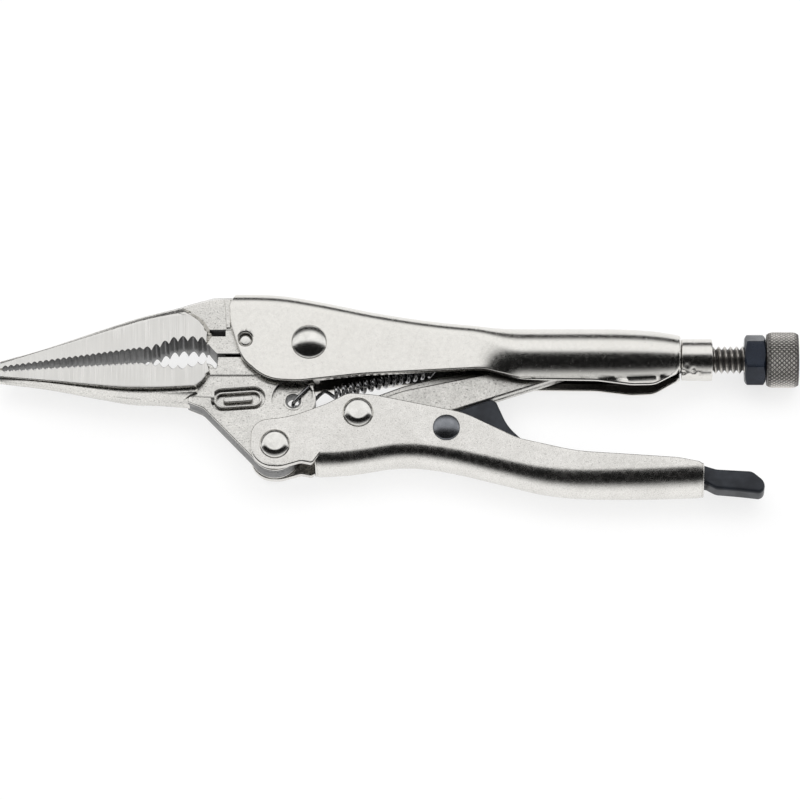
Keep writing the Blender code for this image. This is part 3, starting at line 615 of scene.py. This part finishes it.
forged_nickel = plated("forged_nickel", (0.82, 0.805, 0.77), (0.62, 0.61, 0.585), 0.42, 0.03, 0.26, 0.55)
flat_nickel = ground_steel("ground_nickel", (0.80, 0.79, 0.765), (0.75, 0.74, 0.715))

# A near black copy of the plating for the teeth, the grooves and the walls inside the recesses: painted
# shade where little light reaches.
painted_shade_steel = plated("painted_shade_steel", (0.27, 0.27, 0.27), (0.13, 0.13, 0.13), 0.4, 0.02, 0.42, 0.2)

tip, back = NOSE_TIP, NOSE_BACK
upper_bite = smooth_line((tip, -6.7), (tip + NOSE_LONG * 0.5, -3.45), (back, -0.4), (back + 6, 0.3))
upper_flat = smooth_line((tip, -5.1), (tip + NOSE_LONG * 0.24, -1.0), (tip + NOSE_LONG * 0.7, 6.9),
                         (back - 6, 9.5), (back + 6, 11.3))
upper_ridge = smooth_line((tip, -4.0), (tip + NOSE_LONG * 0.23, 0.1), (tip + NOSE_LONG * 0.65, 8.9),
                          (back - 9, 12.2), (back, 15.0), (back + 6, 15.9), (back + 12, 14.0))
upper_teeth = (teeth(tip + 1.2, upper_bite, tip + 0.695 * NOSE_LONG, 1.67, 0.65, 1)
               + coarse_teeth([(-46.07, -1.5), (-43.8, -0.75), (-41.2, 0.3), (-38.7, 1.4), (-36.0, 1.75),
                               (-33.1, 1.7), (-30.2, 1.45)], 1.6))
upper_calm = smooth_line((tip, -6.0), (-60, -2.4), (-48, -1.1), (-44, 0.5), (-38.5, 2.5), (-20, 2.7))
upper_nose = nose(1, upper_teeth, upper_calm, upper_flat, upper_ridge, (back - 8.8, 0.4, 9.0), 0.4,
                  [(-28.6, 0.0, 0.02), (-28.0, -0.9, 0.2), (-27.2, -1.9, 0.5), (-26.4, -2.85, 0.8),
                   (-17.0, -2.85, 1.0)], 3.88, (2.5, 4.6, 1.7))
tang = plate([[(-24, 11.5), (-24, -2.85), (-7.4, -2.85)] + bend_line((0, 0), 8.0, 200, 125, 8)
              + [(-4.2, 9.0), (-4.2, 11.5)]], -TANG, TANG, 0.4)
shoulder = plate([[(-24.3, 13.7), (-23.9, 9.5), (-23.7, 5.0), (-22.4, 5.0), (-22.4, 14.0)]], -4.4, 4.4, 0.3)
upper_jaw = together("upper_jaw_forging", [upper_nose, tang, shoulder],
                     [forged_nickel, flat_nickel, painted_shade_steel], 35)
mount(upper_jaw, "upper_jaw", "upper_body")

# ---- upper jaw pin ----
# A short steel pin pressed through the cheeks and the tang of the upper jaw; its ends sit
# a little below the face of the cheek.


def turned_steel(name, light, dark, rough, size=0.25, depth=0.003):
    """Bright turned or headed steel with faint rings of tool marks and a cloudy polish."""
    made, shader, place = coat(name)
    marks, cloud = place.noise(size, 2), place.noise(2.6, 2)
    feed(shader, cloud.step(0.3, 0.7).mix(light, dark), marks.step(0.3, 0.7, rough - 0.04, rough + 0.06),
         marks + cloud * 0.8, depth)
    return made


pin_steel = turned_steel("pin_steel", (0.85, 0.84, 0.81), (0.74, 0.73, 0.70), 0.25)
pin_end = [(0, 4.95), (1.1, 4.93), (1.45, 4.88), (1.66, 4.75), (1.75, 4.5)]
pin = spun("upper_jaw_pin_turned", pin_end + [(r, -h) for r, h in reversed(pin_end)], pin_steel, PIN,
           segments=40)
mount(pin, "upper_jaw_pin", "upper_body")

# ---- screw collar ----
# A threaded steel bush in the end of the tube that carries the adjusting screw. The sheet is
# crimped onto it from below, which leaves dents in the plated surface.
COLLAR, COLLAR_START, COLLAR_END = 6.0, 106.3, 115.1
BORE = 4.2
dents = [(106.9, 150, 0.7, 0.8), (107.8, 128, 0.45, 0.7), (108.6, 166, 0.7, 0.9), (109.6, 143, 0.5, 0.7),
         (110.4, 172, 0.5, 0.8), (107.2, 174, 0.6, 0.8), (111.2, 156, 0.3, 0.7)]


def crimped(r, x, angle):
    if r < COLLAR - 0.7:
        return r
    for at, turn, deep, wide in dents:
        for side in (turn, -turn):
            gap = (degrees(angle) - side + 540) % 360 - 180
            r -= deep * 0.5 * exp(-((x - at) / wide) ** 2 - (gap / 9) ** 2)
    return r


collar_shape = [(COLLAR - 0.35, COLLAR_END), (COLLAR - 0.13, COLLAR_END - 0.06), (COLLAR, COLLAR_END - 0.35)]
collar_shape += [(COLLAR, COLLAR_END - 0.35 - (COLLAR_END - COLLAR_START - 0.6) * i / 40)
                 for i in range(1, 41)]
collar_shape += [(COLLAR - 0.2, COLLAR_START), (BORE, COLLAR_START), (BORE, COLLAR_END - 0.3),
                 (BORE + 0.25, COLLAR_END)]
collar = spun("screw_collar_crimped", collar_shape, upper_nickel, (0, AXIS_Y), "X", 120, crimped, 40)
mount(collar, "screw_collar", "upper_body")

# ---- main rivet ----
# A solid steel rivet with a low domed head on each side; the lower jaw swings on its shank.


def rivet(name, node, centre, shank, head, height, level, material, body):
    """Two headed ends on a shank; level is the radius of the flat top of each head."""
    under, rim = HALF + 0.15, 0.3
    crown = []
    for i in range(21):
        r = level + (head - 0.25 - level) * i / 20
        crown.append((r, under + rim + (height - rim) * (1 - ((r - level) / (head - level)) ** 2.1)))
    crown += [(head - 0.08, under + rim - 0.02)]
    if level:
        crown = [(0, under + height + 0.06), (level * 0.5, under + height + 0.045)] + crown
    else:
        crown[0] = (0, under + height)
    shape = crown + [(head, under + 0.12), (head - 0.12, under), (shank, under)]
    made = spun(name, shape + [(r, -h) for r, h in reversed(shape)], material, centre,
                segments=72, smooth=50)
    mount(made, node, body)


bright = turned_steel("bright_rivet", (0.84, 0.83, 0.80), (0.74, 0.73, 0.70), 0.2, 0.35, 0.004)
rivet("main_rivet_headed", "main_rivet", (0, 0), 2.9, 5.1, 2.2, 0, bright, "upper_body")

# ---- lower jaw ----
# The other forged half: the same ground nose, a block that meets the upper one to cut wire,
# and an arm down to the lower handle. An oval recess with a plain bar is pressed into its side.
ARM = (-9.6, -31.3)
FIELD = 3.3
lower_bite = smooth_line((tip, -7.0), (tip + NOSE_LONG * 0.25, -6.55), (tip + NOSE_LONG * 0.62, -6.1),
                         (back, -5.6), (back + 3, -5.4))
lower_flat = smooth_line((tip, -9.0), (tip + NOSE_LONG * 0.25, -10.95), (tip + NOSE_LONG * 0.58, -13.7),
                         (tip + NOSE_LONG * 0.72, -14.1), (back - 3, -13.5), (back + 3, -13.0))
lower_ridge = smooth_line((tip, -10.4), (tip + NOSE_LONG * 0.23, -12.1), (tip + NOSE_LONG * 0.47, -14.7),
                          (tip + NOSE_LONG * 0.71, -16.5), (back - 4.4, -17.7), (back + 3, -18.4))
lower_teeth = (teeth(tip + 1.2, lower_bite, tip + 0.695 * NOSE_LONG, 1.67, 0.65, -1)
               + coarse_teeth([(-46.1, -7.0), (-43.9, -7.25), (-41.5, -7.75), (-38.8, -8.15), (-36.1, -8.1),
                               (-33.1, -7.5), (-30.3, -6.8)], -1.2))
lower_calm = smooth_line((tip, -7.5), (-50, -7.9), (-40, -9.1), (-33, -8.6), (-20, -8.0))
lower_nose = nose(-1, lower_teeth, lower_calm, lower_flat, lower_ridge, (back - 8, -6.0, 8.9), -6.0,
                  [(-28.2, -5.8, 0.02), (-27.6, -6.2, 0.3), (-27.0, -7.0, 1.0)], FIELD + 0.02)
block = plate([[(-29.5, -7.0), (-26.4, -7.0), (-26.1, -3.55), (-6.7, -3.55)]
               + bend_line((0, 0), 7.5, 208, 318, 14) + [(3, -9.6), (-29.5, -9.6)]], -TANG, TANG, 0.45)
arm_outline = rounded([(-34, -7.5), (1.5, -7.5), (1.3, -16.6, 3), (-2.6, -25, 6)]
                      + bend_line(ARM, 7.0, 0, -150, 24) + [(-30.0, -19.3, 4), (-34.5, -17.4)])
spring_eye = (-4.5, -16.6)
slant = radians(4)


def turned_line(points, centre=(-20.2, -16.5)):
    return [(centre[0] + x * cos(slant) - y * sin(slant), centre[1] + x * sin(slant) + y * cos(slant))
            for x, y in points]


def long_oval(half_run, radius):
    return (bend_line((half_run, 0), radius, -90, 90, 14) + bend_line((-half_run, 0), radius, 90, 270, 14))


oval = turned_line(long_oval(4.4, 3.3))
rim_out, rim_in = turned_line(long_oval(4.4, 2.45)), turned_line(long_oval(4.4, 1.85))
bar = turned_line(long_oval(3.4, 0.85))
# The middle plates of the arm, whose walls show inside the oval recess and round the spring eye, take the
# third material, painted shade.
arm = [plate([arm_outline, ring_line(spring_eye, 2.2)], -1.8, 1.8, 0.15),
       plate([arm_outline, ring_line(spring_eye, 6.5), oval], 1.5, FIELD - 0.6, 0.1, 2),
       plate([arm_outline, ring_line(spring_eye, 6.5)], 0.6 - FIELD, -1.5, 0.1, 2),
       plate([arm_outline, ring_line(spring_eye, 6.5), oval], FIELD - 0.75, FIELD, 0.3),
       plate([arm_outline, ring_line(spring_eye, 6.5)], -FIELD, 0.6 - FIELD, 0.3),
       plate([[(-12 + (x + 12) * 1.003, -19 + (y + 19) * 1.003) for x, y in arm_outline],
              ring_line(spring_eye, 6.5)], -1.45, 1.45, 0.05, 2),
       plate([rim_out, rim_in], FIELD - 1.3, FIELD - 0.15, 0.2),
       plate([bar], FIELD - 1.3, FIELD - 0.1, 0.3)]
arm += [plate([ring_line(spring_eye, 2.35), ring_line(spring_eye, 1.7)], -1.6, 1.6, 0.05, 2),
        plate([ring_line(spring_eye, 2.9), ring_line(spring_eye, 2.25)], -1.86, 1.86, 0.05)]
lower_jaw = together("lower_jaw_forging", [lower_nose, block] + arm,
                     [forged_nickel, flat_nickel, painted_shade_steel], 35)
mount(lower_jaw, "lower_jaw", "jaw_body")

# ---- lower handle ----
# A second pressed channel, open towards the upper handle and rounded along its back, with a
# coarser satin plate. Its two front lobes straddle the arm of the lower jaw.
LOWER_END, LOWER_FRONT = 112.4, 1.6
lower_back = smooth_line((-20, -38.5), (LOWER_FRONT, -38.5), (12, -37.9), (25, -35.9), (32, -36.0),
                         (41, -37.5), (55, -41.25), (66, -44.1), (77, -45.4), (95, -45.6), (113, -45.0))
flare_out = smooth_line((36, 0), (60, 0.5), (94, 0.92), (113, 1))


def lower_section(x, way, inset):
    bend = 5.0 + (2.2 * flare_out(x) if x > 36 else 0)
    wide, back_y, w = max(HALF, bend), lower_back(x), way * 10
    top = -13.0
    if w < 4:
        return top + w / 4 * (back_y + bend - top), wide - inset
    if w < 9.7:
        a = (w - 4) / 5.7 * pi / 2
        return back_y + bend - (bend - inset) * sin(a), wide - bend + (bend - inset) * cos(a)
    return back_y + inset, (wide - bend) * (10 - w) / 0.3


lower_outline = rounded([(LOWER_END - 0.2, -50), (LOWER_END - 0.2, -37.2, 1.4), (105, -35.7, 15),
                         (76, -33.5, 50), (59.5, -29.4, 18), (44, -21.5, 25), (19, -16.2, 20),
                         (11.2, -15.5, 5.5), (5.0, -18.9, 14), (-5, -22.8, 30), (-16.5, -24.2),
                         (-16.5, -50)], 4)
lower_line = [p for p in lower_outline[1:] if p[0] > LOWER_FRONT + 0.02 and p[1] > -49]
cross = next(i for i, p in enumerate(lower_outline[1:]) if p[0] <= LOWER_FRONT + 0.02)
p, q = lower_line[-1], lower_outline[1 + cross]
t = (p[0] - LOWER_FRONT) / (p[0] - q[0])
lower_line.append((LOWER_FRONT, p[1] + (q[1] - p[1]) * t))
lower_line = [(LOWER_END - 0.2, -38.6)] + lower_line
lower_spots = [((x, y, nx, ny, x), 0) for x, y, nx, ny, at in walk(lower_line, 0.8)]
first, last = lower_spots[0][0], lower_spots[-1][0]
lower_rear = [((first[0] - s, first[1] + 1.2, 0, -1, first[0] - s), d) for s, d in ends[::-1]]
lower_front = [((last[0] - 2.0 + s, last[1] - 1.2, last[2], last[3], last[4] + 0.3 + s), d) for s, d in ends]
lower_nickel = plated("coarse_nickel", (0.83, 0.815, 0.785), (0.69, 0.675, 0.645), 0.38, 0.022, 0.25, 0.35)
lower_middle = [s for s in lower_spots[1:] if LOWER_FRONT + 0.9 < s[0][0] < LOWER_END - 0.9]
lower = folded_sheet("lower_handle_sheet", lower_rear[::-1] + lower_middle + lower_front[::-1],
                     lower_section, SHEET, RIM, [lower_nickel, channel_shade_nickel])


def tucked(shape):
    """Lean a lobe's plate so that it lies over the front end of the sheet and runs under its skin."""
    points, faces = shape
    return [(x, y, z + (0.03 - 0.012 * max(0, x - LOWER_FRONT)) * (1 if z > 0 else -1))
            for x, y, z in points], faces


lobe_outline = rounded([(-16.5, -24.2, 5), (-5, -22.8, 30), (5.0, -18.9, 14), (9, -17.3), (9, -31.5),
                        (3.2, -34.2), (1.0, -37.3, 1.2), (-2.2, -36.6, 3), (-8.1, -38.4, 8),
                        (-16.5, -37.9, 6.4)])
lobe_plates = [tucked(plate([lobe_outline], HALF - SHEET, HALF, RIM)),
               tucked(plate([lobe_outline], -HALF, SHEET - HALF, RIM))]
lobes = together("lower_handle_lobes", lobe_plates, lower_nickel)
mount(lower, "lower_handle", "handle_body")
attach(lobes, "handle_body")

# ---- handle rivets ----
# Two flat-topped rivets join the lower handle to the jaw's arm and to the toggle link, and a
# smaller blued one carries the release lever.
blued = turned_steel("blued_rivet", (0.30, 0.31, 0.335), (0.22, 0.23, 0.25), 0.3, 0.3, 0.004)
LINK, LEVER = (14.0, -21.6), (39.1, -26.3)
rivet("jaw_arm_rivet_headed", "jaw_arm_rivet", ARM, 2.4, 4.35, 1.6, 2.3, bright,
      "handle_body")
rivet("link_rivet_headed", "link_rivet", LINK, 2.4, 4.4, 1.6, 2.3, bright, "handle_body")
rivet("lever_rivet_headed", "lever_rivet", LEVER, 2.0, 3.85, 1.4, 0, blued, "handle_body")

# ---- toggle link ----
# A thick stamped bar between the cheeks, from the lower handle up to the end of the screw.
LINK_END, LINK_HALF = (78.0, AXIS_Y), 2.3
belly = [(26.2, -24.69), (66, -11.357)]
link_outline = rounded(bend_line(LINK, 5.6, 100, 285, 24) + belly
                       + bend_line(LINK_END, 3.8, -72, 90, 16)
                       + [(70, 0.6, 30), (27, -11.6, 20), (18.5, -14.9, 6)])
link_nickel = plated("link_nickel", (0.78, 0.765, 0.73), (0.54, 0.53, 0.505), 0.45, 0.04, 0.3, 0.7)
thick_outline = rounded(bend_line(LINK, 5.6, 80, 285, 28) + belly
                        + bend_line(LINK_END, 3.8, -72, 10, 10)
                        + [(74, -3.2, 6), (27, -13.4, 20), (20.0, -16.0, 5)])
link = together("toggle_link_bar", [plate([thick_outline], -LINK_HALF, LINK_HALF, 0.55),
                                    plate([link_outline], -1.1, 1.1, 0.5)], link_nickel)
mount(link, "toggle_link", "link_body")

# ---- release lever ----
# A stamped and blackened lever inside the lower handle; its tail sticks out at the back for a finger.
lever_outline = rounded(bend_line(LEVER, 4.6, 150, 262, 12)
                        + [(50, -32.2, 15), (62, -37.6, 20), (80, -41.0, 30), (100, -41.6, 40),
                           (112.8, -42.2, 2), (115.6, -43.8, 4), (122.4, -44.4, 8), (129.0, -45.2, 1.8),
                           (129.8, -41.6, 3), (126.0, -38.3, 3), (115.8, -37.7, 5), (110.0, -35.8, 6),
                           (96, -36.6, 20), (76, -35.0, 20), (64, -31.8, 10), (56.6, -24.6, 14),
                           (53.4, -17.2, 0.6), (52.0, -16.3, 0.6), (41.8, -20.0, 1.5)])


def blackened(name, light, dark, rough):
    """Black oxide on steel: a dry blue-grey skin with a cloudy tone, worn lighter in specks."""
    made, shader, place = coat(name, 0.35)
    fine, cloud = place.noise(0.25, 3), place.noise(3.5, 3)
    worn = fine.step(0.62, 0.8, 0.0, 0.35)
    feed(shader, worn.mix(cloud.step(0.3, 0.7).mix(light, dark), tuple(c * 2.2 for c in light)),
         cloud.step(0.3, 0.7, rough - 0.05, rough + 0.07), fine * 0.7 + cloud, 0.01)
    return made


lever_black = blackened("lever_black", (0.026, 0.030, 0.038), (0.016, 0.018, 0.023), 0.36)
lever = together("release_lever_stamping", [plate([lever_outline], -3.0, 3.0, 0.9)], lever_black)
mount(lever, "release_lever", "lever_body")

# ---- adjusting screw ----
# A coarse right-hand thread with a turned knob on its end, knurled in diamonds for the fingers.
THREAD, PITCH, KNOB = 3.9, 1.7, 7.95
NUT_START, KNOB_START, SCREW_END = 124.3, 130.6, 139.7


def threaded(r, x, angle):
    if r < THREAD - 0.01 or x > KNOB_START - 0.02 or x < 96:
        return r
    turn = ((x - PITCH * (angle + pi / 2) / (2 * pi)) / PITCH) % 1
    return THREAD - 0.95 * min(1, max(0, (abs(turn - 0.5) * 2 - 0.12) / 0.76))


thread_shape = [(0, 83.8), (2.7, 83.8), (THREAD - 0.02, 85.0), (THREAD - 0.02, 95.0)]
thread_shape += [(THREAD, 96 + PITCH / 10 * i) for i in range(int((KNOB_START - 96.2) / (PITCH / 10)))]
thread_shape += [(THREAD - 0.9, KNOB_START - 0.05), (THREAD - 0.9, KNOB_START + 0.4), (0, KNOB_START + 0.4)]


def screw_steel(name, light, dark, inner, outer):
    """Plain steel that is darker down in the grooves, from inner to outer radius."""
    made, shader, place = coat(name)
    level = place.node("ShaderNodeVectorMath", {"operation": "SUBTRACT"},
                       {0: place, 1: tuple(PIVOT + Vector((0, AXIS_Y, 0)) * 0.001)})
    flat = level.node("ShaderNodeVectorMath", {"operation": "MULTIPLY"}, {0: level, 1: (0, 1, 1)})
    reach = flat.node("ShaderNodeVectorMath", {"operation": "LENGTH"}, {0: flat}, 1) * 1000
    fine = place.noise(0.2, 2)
    crest = reach.step(inner, outer) * fine.step(0.25, 0.6, 0.75, 1.0)
    feed(shader, crest.mix(dark, light), crest.step(0, 1, 0.5, 0.3), fine, 0.006)
    return made


thread_steel = screw_steel("thread_steel", (0.62, 0.60, 0.57), (0.16, 0.155, 0.15), 3.0, 3.75)
screw = spun("adjusting_screw_thread", thread_shape, thread_steel, (0, AXIS_Y), "X", 64, threaded, 40)
mount(screw, "adjusting_screw", "screw_body")

KNURLS, KNURL_DEPTH = 38, 0.42


def knurled(r, x, angle):
    if r < KNOB - 0.75:
        return r
    around = KNURLS * angle / (2 * pi)
    along = (x - KNOB_START) * KNURLS / (2 * pi * KNOB) * 0.95
    one = abs((around + along) % 1 - 0.5) * 2
    two = abs((around - along) % 1 - 0.5) * 2
    share = min(1, max(0, (r - (KNOB - 0.7)) / 0.35))
    return r - KNURL_DEPTH * share * (1 - min(one, two) * 1.6 if min(one, two) < 0.625 else 0)


knob_shape = [(0, SCREW_END - 0.15), (KNOB - 2.0, SCREW_END - 0.15), (KNOB - 1.2, SCREW_END),
              (KNOB - 0.85, SCREW_END)]
for i in range(61):
    x = SCREW_END - (SCREW_END - KNOB_START) * i / 60
    gap = min(SCREW_END - x, x - KNOB_START)
    knob_shape.append((KNOB - 0.7 * (1 - min(1, gap / 1.9)) ** 2.2, x))
knob_shape += [(KNOB - 0.85, KNOB_START), (0, KNOB_START)]
knob_steel = screw_steel("knob_steel", (0.80, 0.77, 0.73), (0.26, 0.25, 0.24), KNOB - 0.42, KNOB - 0.02)
knob = spun("adjusting_knob", knob_shape, knob_steel, (0, AXIS_Y), "X", KNURLS * 8, knurled, 55)
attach(knob, "screw_body")

# ---- lock nut ----
# A blackened hexagon nut, chamfered on both faces, that locks the screw against the collar.
ACROSS, NUT_LONG, NUT_TURN = 13.0, 6.0, radians(6.3)
NUT_BORE = 4.2


def hexagon(r, x, angle):
    if r < ACROSS / 2 - 0.6:
        return r
    turned = (angle - NUT_TURN) % (pi / 3)
    face = ACROSS / 2 / cos(turned - pi / 6)
    gap = min(x - NUT_START, NUT_START + NUT_LONG - x)
    return min(face, ACROSS / 2 - 0.35 + gap * 1.75, ACROSS / 2 / cos(pi / 6) - 0.12)


nut_shape = [(NUT_BORE, NUT_START + 0.4), (NUT_BORE + 0.4, NUT_START), (ACROSS / 2 - 0.7, NUT_START)]
for i in range(49):
    nut_shape.append((ACROSS / 2, NUT_START + NUT_LONG * (0.5 - 0.5 * cos(pi * i / 48))))
nut_shape += [(ACROSS / 2 - 0.7, NUT_START + NUT_LONG), (NUT_BORE + 0.4, NUT_START + NUT_LONG),
              (NUT_BORE, NUT_START + NUT_LONG - 0.4)]
nut_black = blackened("nut_black", (0.020, 0.027, 0.042), (0.012, 0.016, 0.026), 0.30)
nut = spun("lock_nut_hexagon", nut_shape, nut_black, (0, AXIS_Y), "X", 144, hexagon, 18)
mount(nut, "lock_nut", "nut_body")

# ---- tension spring ----
# A slightly stretched coil of grey spring wire, hooked through the eye in the lower jaw and
# running up inside the upper handle, where it opens the jaws when the lever is pressed.
start, end = Vector((7.2, -13.3, 0)), Vector((34.0, -6.4, 0))
run, WIRE, COIL = end - start, 0.55, 1.75
along = run.normalized()
across = Vector((-along.y, along.x, 0))
hx, hy, under = *spring_eye, 2.55
hook = [(hx + 4.6, hy + 4.4, under), (hx + 2.6, hy + 2.2, under), (hx + 0.9, hy + 0.3, under - 0.2),
        (hx + 0.1, hy - 0.4, under - 1.0), (hx - 0.1, hy - 0.6, 0), (hx + 0.2, hy - 0.4, -under + 0.9),
        (hx + 1.2, hy - 0.1, -under + 0.1), (hx + 3.5, hy + 0.6, -under - 0.05),
        (hx + 5.6, hy + 1.5, -under - 0.05), (hx + 7.4, hy + 3.4, -under + 0.4),
        (hx + 8.9, hy + 4.4, -1.6), (hx + 10.2, hy + 3.5, -0.9)]
wire_line = [Vector(p) for p in hook]
TURNS, TURN_STEPS = 13, 20
for i in range(TURNS * TURN_STEPS + 1):
    a = 2 * pi * i / TURN_STEPS - pi / 2
    around = across * sin(a) + Vector((0, 0, 1)) * cos(a)
    wire_line.append(start + run * i / (TURNS * TURN_STEPS) + around * COIL)
wire_line += [end + along * 1.4 - across * 0.7, end + along * 3.2, end + along * 5.0 + across * 1.0]
curve = bpy.data.curves.new("tension_spring_wire", "CURVE")
curve.dimensions, curve.bevel_depth, curve.bevel_resolution = "3D", WIRE * 0.001, 4
curve.use_fill_caps = True
spline = curve.splines.new("POLY")
spline.points.add(len(wire_line) - 1)
for point, spot in zip(spline.points, wire_line):
    point.co = (*(PIVOT + spot * 0.001), 1)
draft = bpy.data.objects.new("tension_spring_draft", curve)
bpy.context.scene.collection.objects.link(draft)
bpy.context.view_layer.update()
mesh = bpy.data.meshes.new_from_object(draft.evaluated_get(bpy.context.evaluated_depsgraph_get()))
bpy.data.objects.remove(draft)
mesh.materials.clear()
spring = dress("tension_spring_wire", mesh,
               turned_steel("spring_wire", (0.62, 0.62, 0.63), (0.40, 0.40, 0.41), 0.24, 0.4, 0.004), 60)
mount(spring, "tension_spring", "spring_body")

# ---- floor, light and camera ----
# A pale table under a white cloth tent. The tent is open where the camera looks in, which leaves
# the dark bands on the rounded metal.
bpy.ops.mesh.primitive_plane_add(size=8)
table = bpy.context.object
table.name = "table"
made, shader, place = coat("pale_table", 0.0)
feed(shader, place.noise(60, 2).step(0.3, 0.7).mix((0.30, 0.30, 0.30), (0.32, 0.32, 0.32)),
     place.noise(5, 2).step(0.3, 0.7, 0.75, 0.85), place.noise(2, 2), 0.005)
shader.inputs["Specular IOR Level"].default_value = 0.1
shader.inputs["Emission Color"].default_value = (1, 1, 1, 1)
shader.inputs["Emission Strength"].default_value = 0.72
table.data.materials.append(made)

world = bpy.data.worlds.new("cloth_tent")
bpy.context.scene.world = world
world.use_nodes = True
tree = world.node_tree
tree.nodes.clear()
toward = Wire(tree, tree.nodes.new("ShaderNodeTexCoord").outputs["Generated"])
sideways = toward.node("ShaderNodeSeparateXYZ", {}, {0: toward}, 1)
upward = toward.node("ShaderNodeSeparateXYZ", {}, {0: toward}, 2)
lean = sideways.math("ARCTAN2", sideways, upward) * degrees(1)
ceiling = lean.step(3, 17) * lean.step(54, 74, 1.0, 0.0)
near_wall = lean.step(-88, -50, 1.0, 0.0)
glow = ceiling * 1.06 + near_wall * 0.9 + 0.004
background = toward.node("ShaderNodeBackground", {}, {"Color": (1, 1, 1, 1), "Strength": glow})
output = tree.nodes.new("ShaderNodeOutputWorld")
tree.links.new(background.socket, output.inputs["Surface"])

lamp = bpy.data.lights.new("table_fill", "AREA")
lamp.shape, lamp.size, lamp.energy = "DISK", 3.0, 36.0
fill = bpy.data.objects.new("table_fill", lamp)
fill.location = (0, 0, 2.0)
fill.visible_glossy = False
bpy.context.scene.collection.objects.link(fill)

aim = PIVOT + Vector((25.93, -15.5, 0)) * 0.001
tilt, HALF_VIEW, VIEW_FROM = radians(22), 0.11384, 2.4944
camera = bpy.data.objects.new("camera", bpy.data.cameras.new("camera"))
camera.location = aim + 2.5 * Vector((0, -sin(tilt), cos(tilt)))
camera.rotation_euler = (tilt, 0, 0)
camera.data.angle = 2 * atan2(HALF_VIEW, VIEW_FROM)
camera.data.clip_start, camera.data.clip_end = 0.05, 20
bpy.context.scene.collection.objects.link(camera)
bpy.context.scene.camera = camera
bpy.context.scene.view_settings.view_transform = "Standard"
